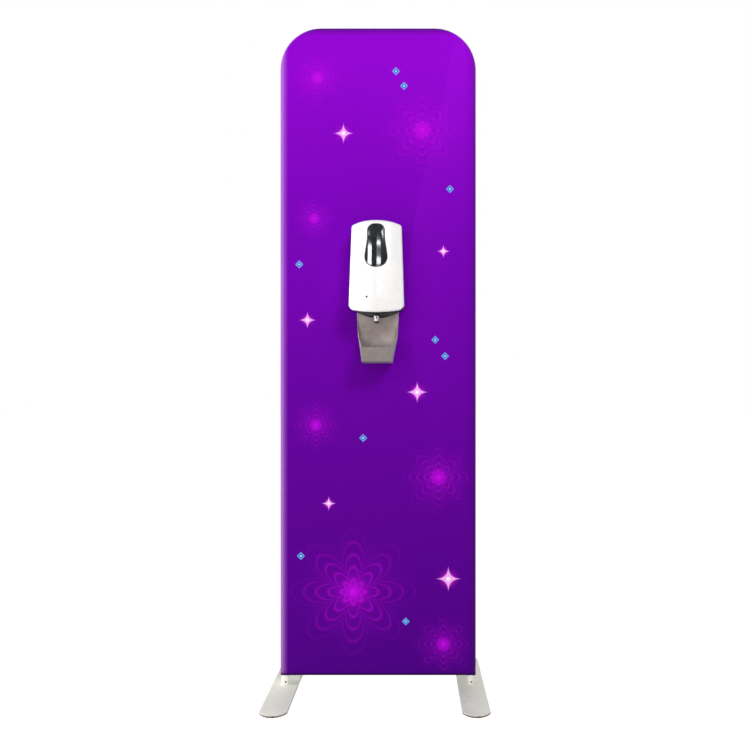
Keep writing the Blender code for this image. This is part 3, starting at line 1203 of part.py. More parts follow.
def make_tray():
    """The drip tray: one sheet. A tapered box with a slanting open top makes the scoop, its back edge runs
    up as the back plate, and the plate's sides are folded forward as flanges."""
    form = bmesh.new()
    bmesh.ops.create_cube(form, size=2)
    places = {
        (1, -1): (TRAY_BACK_BOTTOM_HALF, TRAY_BACK, TRAY_BOTTOM),
        (1, 1): (TRAY_HEEL_HALF, TRAY_BACK, TRAY_HEEL_HEIGHT),
        (-1, -1): (TRAY_NOSE_HALF, TRAY_BACK - TRAY_NOSE_DEPTH, TRAY_BOTTOM),
        (-1, 1): (TRAY_LIP_HALF, TRAY_BACK - TRAY_LIP_DEPTH, TRAY_LIP),
    }
    for vert in form.verts:
        half, y, z = places[(round(vert.co.y), round(vert.co.z))]
        vert.co = (half * vert.co.x, y, z)
    form.normal_update()
    lid = max(form.faces, key=lambda face: face.normal.z)
    bmesh.ops.delete(form, geom=[lid], context="FACES_ONLY")
    heel = [edge for edge in form.edges if all(abs(v.co.z - TRAY_HEEL_HEIGHT) < GAP for v in edge.verts)]
    for height, half in ((TRAY_FLANGE_TOP, (TRAY_HEEL_HALF + TRAY_TOP_HALF) / 2), (TRAY_TOP, TRAY_TOP_HALF)):
        grown = bmesh.ops.extrude_edge_only(form, edges=heel)["geom"]
        for vert in (item for item in grown if isinstance(item, bmesh.types.BMVert)):
            vert.co.x = math.copysign(half, vert.co.x)
            vert.co.z = height
        heel = [item for item in grown if isinstance(item, bmesh.types.BMEdge)
                and all(abs(v.co.z - height) < GAP for v in item.verts)]
    for side in (-1, 1):
        fold_gusset(form, side)
    bmesh.ops.recalc_face_normals(form, faces=form.faces)
    floor = min(form.faces, key=lambda face: face.calc_center_median().z)
    if floor.normal.z > 0:
        bmesh.ops.reverse_faces(form, faces=form.faces)
    mesh = bpy.data.meshes.new("drip_tray")
    form.to_mesh(mesh)
    form.free()
    tray = add_object("drip_tray", mesh, "tray sheet")
    sheet = tray.modifiers.new("sheet", "SOLIDIFY")
    sheet.thickness = TRAY_SHEET
    sheet.offset = -1
    for name, x, z in screw_places():
        if z == SCREW_LOWER_HEIGHT:
            hole = rod(f"tray_hole_{name}", SCREW_RADIUS + GAP, -OVERRUN, OVERRUN, at=(x, TRAY_BACK, z),
                       turn=ALONG_Y, sides=BUTTON_SIDES)
            combine(tray, hole)


def fold_gusset(form, side):
    """Folds a narrow gusset forward from the back plate, down to a point on the scoop's side wall."""
    own = [vert for vert in form.verts if vert.co.x * side > 0]
    heel = next(vert for vert in own if abs(vert.co.z - TRAY_HEEL_HEIGHT) < GAP)
    lip = next(vert for vert in own if abs(vert.co.z - TRAY_LIP) < GAP)
    top = next(vert for vert in own if abs(vert.co.z - TRAY_FLANGE_TOP) < GAP)
    wall_edge = form.edges.get((heel, lip))
    _, fold = bmesh.utils.edge_split(wall_edge, heel, TRAY_FLANGE_SHARE)
    form.faces.new((heel, top, fold))


PIECES = None
CUTTERS = None


def main():
    global PIECES, CUTTERS
    clear_scene()
    PIECES = new_collection("display stand")
    CUTTERS = new_collection("cutters")
    make_frame()
    make_feet()
    make_mounting_plate()
    make_screws()
    make_sleeve()
    make_zip()
    make_slider()
    make_puller()
    make_base()
    make_cover()
    make_case()
    make_bottle()
    make_tray()


main()
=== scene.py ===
"""A tension-cloth banner stand with a touch-free gel dispenser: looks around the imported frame. Metres."""

import math

import bmesh
import bpy
import numpy as np
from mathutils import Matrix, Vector


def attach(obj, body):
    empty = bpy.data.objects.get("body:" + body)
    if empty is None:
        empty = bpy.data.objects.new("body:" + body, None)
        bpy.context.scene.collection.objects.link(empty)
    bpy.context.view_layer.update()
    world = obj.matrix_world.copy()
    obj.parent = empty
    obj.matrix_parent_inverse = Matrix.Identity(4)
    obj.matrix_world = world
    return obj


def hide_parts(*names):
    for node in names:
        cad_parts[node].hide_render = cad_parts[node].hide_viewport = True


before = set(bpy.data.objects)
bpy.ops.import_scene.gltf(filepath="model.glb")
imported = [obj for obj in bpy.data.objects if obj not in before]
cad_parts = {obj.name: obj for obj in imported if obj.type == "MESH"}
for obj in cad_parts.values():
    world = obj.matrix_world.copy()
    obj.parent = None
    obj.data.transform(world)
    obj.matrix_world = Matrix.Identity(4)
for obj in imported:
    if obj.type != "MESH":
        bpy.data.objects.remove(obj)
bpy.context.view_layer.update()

# Camera: level, looking along +Y, as in the photograph
CAMERA_PLACE = (0.104, -1.884, 0.879)
LENS = 29.376
SHIFT = (-0.0493, 0.032)

# Sleeve
POST_X = 0.2839
ROUND = 0.0161
PANEL_TOP = 2.017
PANEL_BOTTOM = 0.0305
CORNER = 0.126
CLOTH = 0.0008
SEAM_ALLOWANCE = 0.009
POST_HOLE = 0.0138
HEM_TURN = math.radians(24.3)  # angle from straight down where the hem leaves the round
ZIP_GAP = (0.0902, 0.0978)
ZIP_HALF = 0.25
STITCH_COUNT = 90
STITCH_OFFSET = 0.0045
STITCH_OVERRUN = 0.004
SEAM_RADIUS = 0.0007
BINDING_RADIUS = 0.0005
SCREW_X = 0.045
SCREW_HEIGHTS = (1.198, 1.322)
EYELET_RADIUS = 0.0024

# Dispenser hood
COVER_BOTTOM = 1.1295
COVER_TOP = 1.400
COVER_DOME = 0.0105
DOME_POWER = 2.6
COVER_BACK = -0.0307
COVER_WALL = 0.0025
COVER_HALVES = (0.0805, 0.0735)
COVER_FRONTS = (0.127, 0.112)
COVER_CROWN = 0.024
COVER_ROUNDING = 0.011
COVER_SMILE = 0.010
COVER_TOE = 0.008
TOE_RUN = 0.010
COVER_LIP = 0.0065
COVER_SWEEP = 0.0085
SWEEP_START = -0.095
HINGE = (-0.0372, 1.155)
LOCK_Y = -0.0447
LOCK_HOLE = 0.0073

# Window, indicator and nozzle
WINDOW_TOP = 1.388
WINDOW_BOTTOM = 1.260
WINDOW_HEAD = 0.0262
WINDOW_FOOT = 0.0335
WINDOW_WALL = 0.0022
WINDOW_BORDER = 0.0022
INDICATOR = (-0.0266, 1.174)
INDICATOR_HOLE = 0.0030
NOZZLE = (-0.088, 1.1011)
NOZZLE_WALL = 0.0004
NOZZLE_TOP = 1.1253
COLLAR_LOW = 1.1219
RING_RADIUS = 0.0082
RING_HEIGHT = 0.0056

# Height of the tray's front lip
TRAY_LIP = 1.0297

# Lamps that show only as streaks in the window: their y, then name, x, z, size and power of each
STRIP_Y = -2.4
STRIPS = [
    ("strip_left", -0.92, 2.187, (0.46, 0.139), 14),
    ("strip_right", 0.20, 2.16, (0.60, 0.15), 0.8),
    ("spot_upper", 0.18, 2.216, (0.42, 0.026), 2.6),
    ("spot_lower", 0.18, 2.091, (0.46, 0.045), 4.0),
    ("glint_left", -1.10, 2.372, (0.22, 0.010), 0.4),
    ("glint_right", 0.66, 2.318, (0.16, 0.030), 1.1),
]


def srgb(red, green, blue):
    def linear(value):
        value /= 255
        return value / 12.92 if value <= 0.04045 else ((value + 0.055) / 1.055) ** 2.4
    return linear(red), linear(green), linear(blue)


class Look:
    """A Principled material and the nodes that feed it."""

    def __init__(self, name, colour, roughness, metallic=0.0, **sockets):
        self.material = bpy.data.materials.new(name)
        self.material.use_nodes = True
        self.tree = self.material.node_tree
        self.shader = self.tree.nodes["Principled BSDF"]
        self.set("Base Color", (*colour, 1))
        self.set("Roughness", roughness)
        self.set("Metallic", metallic)
        for key, value in sockets.items():
            self.set(key.replace("_", " "), value)
        self.place = self.node("ShaderNodeTexCoord").outputs["Object"]
        self.axes = None

    def set(self, socket, value):
        self.shader.inputs[socket].default_value = value

    def node(self, kind, inputs=(), **settings):
        made = self.tree.nodes.new(kind)
        for key, value in settings.items():
            setattr(made, key, value)
        for key, value in dict(inputs).items():
            self.feed(made.inputs[key], value)
        return made

    def feed(self, socket, value):
        if isinstance(value, bpy.types.NodeSocket):
            self.tree.links.new(value, socket)
        else:
            socket.default_value = value

    def math(self, operation, first, second=None, third=None, clamp=False):
        made = self.node("ShaderNodeMath", operation=operation, use_clamp=clamp)
        for index, value in enumerate((first, second, third)):
            if value is not None:
                self.feed(made.inputs[index], value)
        return made.outputs[0]

    def axis(self, name):
        if self.axes is None:
            self.axes = self.node("ShaderNodeSeparateXYZ", {0: self.place})
        return self.axes.outputs[name]

    def noise(self, scale, detail=3.0, stretch=(1, 1, 1), roughness=0.5):
        scaled = self.node("ShaderNodeVectorMath", {0: self.place, 1: stretch}, operation="MULTIPLY")
        made = self.node("ShaderNodeTexNoise", {"Vector": scaled.outputs[0], "Scale": scale,
                                                "Detail": detail, "Roughness": roughness})
        return made.outputs["Fac"]

    def facing(self):
        """The parts of the surface's normal, by axis name."""
        normal = self.node("ShaderNodeNewGeometry").outputs["Normal"]
        return self.node("ShaderNodeSeparateXYZ", {0: normal}).outputs

    def brushed(self, scale, stretch):
        """Grain drawn out along the brushing, and the same with a slow cloud over it."""
        grain = self.noise(scale, 4.0, stretch, 0.6)
        cloud = self.noise(9.0, 3.0)
        return grain, self.math("ADD", self.math("MULTIPLY", grain, 0.6), self.math("MULTIPLY", cloud, 0.4))

    def span(self, value, low, high, to_low=0.0, to_high=1.0):
        made = self.node("ShaderNodeMapRange", {"Value": value, "From Min": low, "From Max": high,
                                                "To Min": to_low, "To Max": to_high})
        return made.outputs["Result"]

    def mix(self, factor, first, second, blend="MIX"):
        made = self.node("ShaderNodeMix", data_type="RGBA", blend_type=blend)
        self.feed(made.inputs["Factor"], factor)
        for key, value in ((6, first), (7, second)):
            if isinstance(value, tuple):
                value = (*value, 1)
            self.feed(made.inputs[key], value)
        return made.outputs[2]

    def ramp(self, value, stops):
        made = self.node("ShaderNodeValToRGB", {"Fac": value})
        marks = made.color_ramp.elements
        while len(marks) < len(stops):
            marks.new(0.5)
        for mark, (place, colour) in zip(marks, stops):
            mark.position = place
            mark.color = (*colour, 1)
        return made.outputs["Color"]

    def tint(self, colour):
        self.feed(self.shader.inputs["Base Color"], colour)

    def rough(self, value, low, high):
        self.feed(self.shader.inputs["Roughness"], self.span(value, 0.25, 0.75, low, high))

    def bump(self, height, strength, distance, after=None):
        made = self.node("ShaderNodeBump", {"Height": height, "Strength": strength, "Distance": distance})
        if after is not None:
            self.feed(made.inputs["Normal"], after)
        self.feed(self.shader.inputs["Normal"], made.outputs[0])
        return made.outputs[0]


# Colours of the print, from the floor up, and of its motifs
PURPLE = [(0.02, srgb(73, 0, 126)), (0.35, srgb(93, 0, 147)), (0.70, srgb(116, 0, 178)),
          (0.95, srgb(143, 1, 205))]
MAGENTA = srgb(202, 10, 232)
PINK = srgb(255, 176, 255)
SKY = srgb(96, 176, 240)
WHITE = srgb(255, 255, 255)

# Motifs of the print: x, z and reach
FLOWERS = [(0.135, 1.700, 0.125), (-0.185, 1.860, 0.085), (-0.195, 1.430, 0.070), (-0.075, 0.290, 0.190),
           (0.185, 0.640, 0.110), (0.200, 0.130, 0.095), (-0.190, 0.800, 0.080)]
SPARKLES = [(-0.105, 1.690, 0.034), (0.200, 1.330, 0.022), (-0.215, 1.120, 0.028), (0.120, 0.900, 0.036),
            (-0.150, 0.560, 0.024), (0.215, 0.330, 0.042)]
DIAMONDS = [(0.055, 1.880), (0.080, 1.835), (0.220, 1.520), (-0.240, 1.290), (0.175, 1.060), (0.205, 1.010),
            (-0.045, 0.760), (-0.235, 0.400), (0.085, 0.200)]
PETALS = 8
LINES = 5


def from_centre(look, x, z):
    across = look.math("SUBTRACT", look.axis("X"), x)
    up = look.math("SUBTRACT", look.axis("Z"), z)
    squares = look.math("MULTIPLY_ADD", across, across, look.math("MULTIPLY", up, up))
    return across, up, look.math("SQRT", squares)


def flower(look, colour, x, z, reach):
    """A line flower: nested petal outlines that fade outwards from a glowing middle."""
    across, up, far = from_centre(look, x, z)
    turn = look.math("ARCTAN2", up, across)
    lobe = look.math("ABSOLUTE", look.math("COSINE", look.math("MULTIPLY", turn, PETALS / 2)))
    petal = look.math("MULTIPLY", look.math("MULTIPLY_ADD", lobe, 0.45, 0.55), reach)
    share = look.math("DIVIDE", far, petal)
    wave = look.math("COSINE", look.math("MULTIPLY", share, 2 * math.pi * LINES))
    lines = look.math("POWER", look.math("MULTIPLY_ADD", wave, 0.5, 0.5), 7.0)
    fade = look.math("MULTIPLY", look.span(share, 1.04, 0.98), look.span(share, 1.2, 0.0))
    drawn = look.math("MULTIPLY", look.math("MULTIPLY", lines, fade), 0.44 + 0.13 * z)
    glow = look.math("POWER", look.span(far, reach * 0.42, 0.0), 2.6)
    veil = look.math("MULTIPLY", look.math("POWER", look.span(far, reach, 0.0), 1.5), 0.16)
    amount = look.math("ADD", drawn, look.math("MULTIPLY_ADD", glow, 0.95, veil), clamp=True)
    return look.mix(amount, colour, MAGENTA)


def sparkle(look, colour, x, z, reach):
    """A four-pointed star in a magenta glow."""
    across, up, far = from_centre(look, x, z)
    star = look.math("ADD", look.math("SQRT", look.math("ABSOLUTE", across)),
                     look.math("SQRT", look.math("ABSOLUTE", up)))
    halo = look.math("POWER", look.span(far, reach * 0.85, 0.0), 1.6)
    colour = look.mix(look.math("MULTIPLY", halo, 0.85), colour, srgb(232, 32, 222))
    colour = look.mix(look.span(star, math.sqrt(reach) * 1.04, math.sqrt(reach) * 0.90), colour, PINK)
    return look.mix(look.span(far, reach * 0.17, reach * 0.12), colour, WHITE)


def diamond(look, colour, x, z):
    """A small blue diamond with a pale middle."""
    across, up, _ = from_centre(look, x, z)
    off = look.math("ADD", look.math("ABSOLUTE", across), look.math("ABSOLUTE", up))
    colour = look.mix(look.span(off, 0.0125, 0.0110), colour, SKY)
    colour = look.mix(look.span(off, 0.0078, 0.0066), colour, srgb(30, 84, 190))
    return look.mix(look.span(off, 0.0040, 0.0028), colour, srgb(214, 240, 255))


def print_colour(look, motifs):
    """The print: violet below to purple above, a broad pale sweep, and scattered motifs on the front."""
    colour = look.ramp(look.span(look.axis("Z"), 0.0, 2.0), PURPLE)
    if not motifs:
        return colour
    swing = look.math("SINE", look.math("MULTIPLY_ADD", look.axis("Z"), 3.4, 0.6))
    edge = look.math("MULTIPLY_ADD", swing, 0.075, 0.165)
    beyond = look.math("SUBTRACT", look.axis("X"), edge)
    sweep = look.math("MULTIPLY", look.span(beyond, 0.0, 0.004), look.span(beyond, 0.16, 0.0))
    sweep = look.math("MULTIPLY", sweep, look.span(look.axis("Z"), 0.75, 1.35))
    colour = look.mix(look.math("MULTIPLY", sweep, 0.13), colour, srgb(170, 20, 226))
    for place in FLOWERS:
        colour = flower(look, colour, *place)
    for place in SPARKLES:
        colour = sparkle(look, colour, *place)
    for place in DIAMONDS:
        colour = diamond(look, colour, *place)
    return colour


def edge_painted_shade_and_highlight(look, colour):
    """Painted shade and highlights where the cloth wraps the frame: painted shade at the top, the right and
    the hem, and a painted magenta glow and pale painted highlight down the left edge.
    """
    x, depth, z = (look.axis(name) for name in "XYZ")
    # Painted shade: the top round and the right edge are darkened towards deep purple.
    top = look.math("MULTIPLY", look.math("POWER", look.span(z, 1.983, 2.008), 2.0),
                    look.span(depth, -0.006, -0.014, 0.22, 0.68))
    right = look.math("MULTIPLY", look.math("POWER", look.span(x, 0.265, 0.297), 1.3), 0.36)
    colour = look.mix(look.math("MAXIMUM", top, right), colour, srgb(38, 12, 58))
    # Painted highlight down the left round: a magenta glow, faded at the very edge.
    rim = look.math("MULTIPLY", look.span(depth, -0.002, -0.011),
                    look.span(x, -0.3000, -0.2930, 0.22, 1.0))
    painted_rim_glow = look.math("MULTIPLY", look.math("POWER", rim, 3.0),
                      look.span(x, -0.2745, -0.2925, 0.0, 0.26))
    colour = look.mix(painted_rim_glow, colour, srgb(214, 30, 236))
    # Painted highlight: a pale lilac sheen on the left round.
    pale = look.math("MULTIPLY", look.math("POWER", look.span(x, -0.2730, -0.2955), 1.8), 0.58)
    colour = look.mix(look.math("MULTIPLY", rim, pale), colour, srgb(174, 147, 170))
    # Painted shade along the hem, where it turns under.
    hem = look.math("MAXIMUM", look.span(z, 0.051, 0.043, 0.0, 0.22),
                    look.span(z, 0.0450, 0.0415, 0.0, 0.80))
    return look.mix(hem, colour, srgb(30, 4, 54))


def cloth_look(name, motifs):
    """Printed stretch knit with a fine sheen where it turns away."""
    look = Look(name, srgb(110, 1, 165), 0.70, Specular_IOR_Level=0.02, Sheen_Weight=0.45,
                Sheen_Roughness=0.30, Sheen_Tint=(0.92, 0.78, 1.0, 1))
    colour = edge_painted_shade_and_highlight(look, print_colour(look, motifs))
    drift = look.noise(2.2, 2.0)
    fine = look.noise(900, 2.0)
    colour = look.mix(look.span(drift, 0.3, 0.7, 0.0, 0.10), colour, srgb(66, 0, 118))
    colour = look.mix(look.span(fine, 0.35, 0.65, 0.0, 0.08), colour, srgb(140, 4, 196))
    look.tint(colour)
    rib = look.math("SINE", look.math("MULTIPLY", look.axis("X"), 2 * math.pi / 0.0011))
    course = look.math("SINE", look.math("MULTIPLY", look.axis("Z"), 2 * math.pi / 0.0014))
    wave = look.noise(3.1, 2.0, (1.0, 1.0, 0.35))
    first = look.bump(wave, 0.30, 0.003)
    look.bump(look.math("MULTIPLY", rib, course), 0.22, 0.0003, first)
    return look.material


def metal_look(name, colour, roughness, brush, across=(1, 1, 1), depth=0.25, spread=(0.80, 1.12)):
    look = Look(name, colour, roughness, 1.0)
    grain, tone = look.brushed(brush, across)
    dark = tuple(part * spread[0] for part in colour)
    pale = tuple(min(1, part * spread[1]) for part in colour)
    look.tint(look.mix(look.span(tone, 0.36, 0.64), dark, pale))
    look.rough(grain, roughness * 0.85, roughness * 1.25)
    look.bump(grain, depth, 0.0002)
    return look.material


def plastic_look(name, colour, roughness, grain=1400, depth=0.06, coat=0.0, specular=0.5, spread=0.06):
    look = Look(name, colour, roughness, Coat_Weight=coat, Coat_Roughness=0.08, Specular_IOR_Level=specular)
    cloud = look.noise(24.0, 2.0)
    fine = look.noise(grain, 2.0)
    dark = tuple(part * (1 - spread) for part in colour)
    look.tint(look.mix(look.span(cloud, 0.35, 0.65), dark, colour))
    look.rough(cloud, roughness * 0.9, roughness * 1.15)
    look.bump(fine, depth, 0.0001)
    return look.material


def tray_look():
    """Coated sheet: gray with warm and cool mottling, fine speckle and a dark line at its front lip, with
    painted light higher up, painted shade lower down and a painted highlight on the faces turned towards
    +X.
    """
    look = Look("tray_coating", srgb(165, 152, 149), 0.5, 0.0, Specular_IOR_Level=0.35)
    cloud = look.noise(26.0, 4.0, roughness=0.62)
    speck = look.noise(620.0, 3.0)
    # Painted light and shade: lighter on the back plate above, darker on the front wall below.
    low = look.span(look.axis("Z"), 1.060, 1.030)
    base = look.mix(low, srgb(197, 181, 177), srgb(133, 125, 121))
    shade = look.mix(low, srgb(168, 154, 151), srgb(118, 109, 106))
    # Painted highlight: faces turned towards +X are lightened to a pale greenish gray.
    flank_painted_light = look.math("MULTIPLY", look.span(look.facing()["X"], 0.20, 0.60), 0.8)
    base = look.mix(flank_painted_light, base, srgb(190, 186, 168))
    shade = look.mix(flank_painted_light, shade, srgb(172, 167, 150))
    colour = look.mix(look.span(cloud, 0.35, 0.66), base, shade)
    from_lip = look.math("ABSOLUTE", look.math("SUBTRACT", look.axis("Z"), TRAY_LIP))
    front = look.span(look.axis("Y"), -0.116, -0.119)
    line = look.math("MULTIPLY", look.span(from_lip, 0.0016, 0.0006), front)
    patchy = look.span(look.noise(150.0, 2.0), 0.35, 0.60, 0.25, 0.85)
    colour = look.mix(look.math("MULTIPLY", line, patchy), colour, srgb(70, 54, 48))
    colour = look.mix(look.span(speck, 0.50, 0.72, 0.0, 0.26), colour, srgb(196, 188, 184))
    colour = look.mix(look.span(speck, 0.50, 0.28, 0.0, 0.24), colour, srgb(104, 97, 97))
    look.tint(colour)
    look.rough(cloud, 0.42, 0.62)
    look.bump(speck, 0.10, 0.0002)
    return look.material


def plate_look():
    """Satin steel plate: pale above and below, darker on its upright edges, most on those that face front
    or back.
    """
    look = Look("brushed_steel", srgb(226, 225, 216), 0.58, 0.30, Specular_IOR_Level=0.4)
    grain, tone = look.brushed(70.0, (14, 0.5, 14))
    face = look.mix(look.span(tone, 0.36, 0.64), srgb(205, 205, 194), srgb(226, 226, 215))
    facing = look.facing()
    edge = look.span(look.math("ABSOLUTE", facing["Z"]), 0.85, 0.35)
    nose = look.math("MULTIPLY_ADD", look.math("ABSOLUTE", facing["Y"]), 0.6, 0.4)
    look.tint(look.mix(look.math("MULTIPLY", edge, nose), face, srgb(100, 86, 76)))
    look.rough(grain, 0.50, 0.68)
    look.bump(grain, 0.15, 0.0002)
    return look.material


def smoked_look():
    """Smoked acrylic: nearly black, with a faint cloud and a polished face."""
    look = Look("smoked_acrylic", srgb(12, 18, 22), 0.04, Specular_IOR_Level=0.22)
    cloud = look.noise(60.0, 3.0)
    look.tint(look.mix(look.span(cloud, 0.35, 0.65), srgb(8, 14, 18), srgb(24, 33, 40)))
    look.rough(cloud, 0.03, 0.07)
    return look.material


def thread_look(name, colour):
    look = Look(name, colour, 0.8, Sheen_Weight=0.3)
    twist = look.noise(1800.0, 2.0)
    look.tint(look.mix(twist, tuple(part * 0.6 for part in colour), colour))
    look.bump(twist, 0.5, 0.0002)
    return look.material


def bottle_look():
    """Clear gel in a thin bottle."""
    look = Look("gel_bottle", srgb(222, 234, 238), 0.12, Transmission_Weight=0.55, IOR=1.36)
    cloud = look.noise(30.0, 3.0)
    look.tint(look.mix(look.span(cloud, 0.35, 0.65), srgb(205, 222, 230), srgb(238, 244, 246)))
    look.rough(cloud, 0.08, 0.2)
    return look.material


LOOKS = {
    "front": cloth_look("printed_front", True),
    "back": cloth_look("printed_back", False),
    "seam": thread_look("seam_thread", srgb(50, 8, 84)),
    "tube": metal_look("anodised_aluminium", srgb(214, 212, 206), 0.48, 60.0, (9, 9, 0.4), 0.12,
                       (0.9, 1.06)),
    "foot": plate_look(),
    "post": metal_look("satin_zinc", srgb(238, 238, 229), 0.50, 60.0, (9, 9, 0.4), 0.12, (0.94, 1.05)),
    "zinc": metal_look("zinc_plate", srgb(176, 178, 182), 0.40, 120.0),
    "spring": metal_look("spring_steel", srgb(150, 152, 156), 0.30, 200.0),
    "screw": metal_look("black_oxide", srgb(44, 42, 42), 0.45, 300.0),
    "black": plastic_look("black_moulding", srgb(24, 23, 25), 0.46, 900, 0.25),
    "border": plastic_look("border_print", srgb(9, 10, 12), 0.30, 900, 0.02, specular=0.2),
    "gray": plastic_look("gray_moulding", srgb(128, 126, 127), 0.5),
    "rubber": plastic_look("gray_rubber", srgb(64, 54, 55), 0.6, 1200, 0.15, specular=0.2),
    "slot": plastic_look("outlet_rubber", srgb(40, 30, 32), 0.6, 1200, 0.15, specular=0.1),
    "white": plastic_look("white_moulding", srgb(237, 235, 233), 0.26, 1400, 0.03, 0.15, 0.4, 0.02),
    "smoked": smoked_look(),
    "bottle": bottle_look(),
    "tray": tray_look(),
    "zip": thread_look("zip_teeth", srgb(40, 18, 60)),
}

NODE_LOOKS = {
    "post": ["foot_spigot_left", "foot_spigot_right"],
    "tube": ["corner_bend_left", "corner_bend_right", "crossbar_bottom", "crossbar_lower",
             "crossbar_upper", "top_tube", "upright_lower_left", "upright_lower_right",
             "upright_upper_left", "upright_upper_right"],
    "foot": ["foot_plate_left", "foot_plate_right"],
    "zinc": ["battery_pack", "cover_lock", "dispenser_screw_lower_left", "dispenser_screw_lower_right",
             "dispenser_screw_upper_left", "dispenser_screw_upper_right", "mounting_plate",
             "plate_strap_lower", "plate_strap_upper", "spigot_bend_left", "spigot_bend_right",
             "spigot_top_left", "spigot_top_right", "spigot_upright_left", "spigot_upright_right"],
    "spring": ["snap_button_upright_left", "snap_button_upright_right", "snap_button_bend_left",
               "snap_button_bend_right", "snap_button_top_left", "snap_button_top_right", "zip_puller",
               "zip_slider"],
    "screw": ["foot_screw_left", "foot_screw_right"],
    "black": ["battery_lid", "dispenser_base", "drive_case", "saddle_crossbar_bottom_left",
              "saddle_crossbar_bottom_right", "saddle_crossbar_lower_left", "saddle_crossbar_lower_right",
              "saddle_crossbar_upper_left", "saddle_crossbar_upper_right"],
    "gray": ["power_switch", "pump_cap"],
    "smoked": ["indicator_lamp", "sensor_lens"],
    "bottle": ["refill_bottle"],
    "tray": ["drip_tray"],
    "zip": ["zip_tape"],
}


def dress_nodes():
    for key, names in NODE_LOOKS.items():
        for name in names:
            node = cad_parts[name]
            node.data.materials.clear()
            node.data.materials.append(LOOKS[key])
            smooth(node.data, 35)


def smooth(mesh, degrees):
    mesh.shade_smooth()
    mesh.set_sharp_from_angle(angle=math.radians(degrees))


def piece(name, mesh, look, body, degrees=35):
    made = bpy.data.objects.new(name, mesh)
    bpy.context.scene.collection.objects.link(made)
    mesh.materials.clear()
    mesh.materials.append(LOOKS[look])
    smooth(mesh, degrees)
    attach(made, body)
    return made


def helper(name, mesh):
    made = bpy.data.objects.new(name, mesh)
    bpy.context.scene.collection.objects.link(made)
    return made


def baked(made):
    """The evaluated mesh, with the helper object taken away."""
    graph = bpy.context.evaluated_depsgraph_get()
    mesh = bpy.data.meshes.new_from_object(made.evaluated_get(graph))
    bpy.data.objects.remove(made)
    return mesh


def from_form(name, form):
    mesh = bpy.data.meshes.new(name)
    form.to_mesh(mesh)
    form.free()
    return mesh


def grid_mesh(name, rows, merge=0.0001):
    """A mesh through rows of points, with the points that meet merged."""
    form = bmesh.new()
    bmesh.ops.create_grid(form, x_segments=len(rows[0]) - 1, y_segments=len(rows) - 1, size=1)
    form.verts.ensure_lookup_table()
    for vert, place in zip(form.verts, [place for row in rows for place in row]):
        vert.co = place
    bmesh.ops.remove_doubles(form, verts=form.verts, dist=merge)
    return from_form(name, form)


def thickened(mesh, wall, offset=-1):
    made = helper("thick_form", mesh)
    thick = made.modifiers.new("wall", "SOLIDIFY")
    thick.thickness = wall
    thick.offset = offset
    thick.use_even_offset = True
    return baked(made)


def wire_mesh(name, points, radius):
    """A round thread through the points and back to the first."""
    curve = bpy.data.curves.new(name, "CURVE")
    curve.dimensions = "3D"
    curve.bevel_depth = radius
    curve.bevel_resolution = 2
    spline = curve.splines.new("POLY")
    spline.points.add(len(points) - 1)
    for point, place in zip(spline.points, points):
        point.co = (*place, 1)
    spline.use_cyclic_u = True
    return baked(helper(name, curve))


def box_helper(name, low, high):
    form = bmesh.new()
    bmesh.ops.create_cube(form, size=1)
    for vert in form.verts:
        vert.co = Vector([(a + b) / 2 + c * (b - a) for a, b, c in zip(low, high, vert.co)])
    return helper(name, from_form(name, form))


def rod_helper(name, radius, at, along, length):
    form = bmesh.new()
    bmesh.ops.create_cone(form, cap_ends=True, segments=32, radius1=radius, radius2=radius, depth=length)
    turn = Vector((0, 0, 1)).rotation_difference(Vector(along)).to_matrix()
    for vert in form.verts:
        vert.co = turn @ vert.co + Vector(at)
    return helper(name, from_form(name, form))


def cut(mesh, cutters, operation="DIFFERENCE"):
    made = helper("cut_form", mesh)
    for index, cutter in enumerate(cutters):
        boolean = made.modifiers.new(f"cut_{index}", "BOOLEAN")
        boolean.operation = operation
        boolean.object = cutter
        boolean.solver = "EXACT"
    result = baked(made)
    for cutter in cutters:
        bpy.data.objects.remove(cutter)
    return result


def panel_points(half, low, high, radius, steps=14, spacing=0.04):
    """Points round the frame's centreline, each with its outward way: square below, round above."""
    points = []
    across = np.linspace(-half, half, int(2 * half / spacing) + 1)
    points += [(x, low, 0, -1) for x in across[1:-1]]
    points.append((half, low, 1, -1))
    up = np.linspace(low, high - radius, int((high - radius - low) / spacing) + 1)
    points += [(half, z, 1, 0) for z in up[1:]]
    for step in range(1, steps + 1):
        a = math.pi / 2 * step / steps
        points.append((half - radius + radius * math.cos(a), high - radius + radius * math.sin(a),
                       math.cos(a), math.sin(a)))
    over = np.linspace(half - radius, radius - half, int(2 * (half - radius) / spacing) + 1)
    points += [(x, high, 0, 1) for x in over[1:]]
    for step in range(1, steps + 1):
        a = math.pi / 2 * (1 + step / steps)
        points.append((radius - half + radius * math.cos(a), high - radius + radius * math.sin(a),
                       math.cos(a), math.sin(a)))
    points += [(-half, z, -1, 0) for z in up[-2:0:-1]]
    points.append((-half, low, -1, -1))
    return points


def hem_reach(a):
    """How far the hem stands from the bottom tube's middle: round, then straight up to a sharp fold."""
    if a <= HEM_TURN:
        return ROUND
    return ROUND / max(math.cos(a - HEM_TURN), math.sin(a))


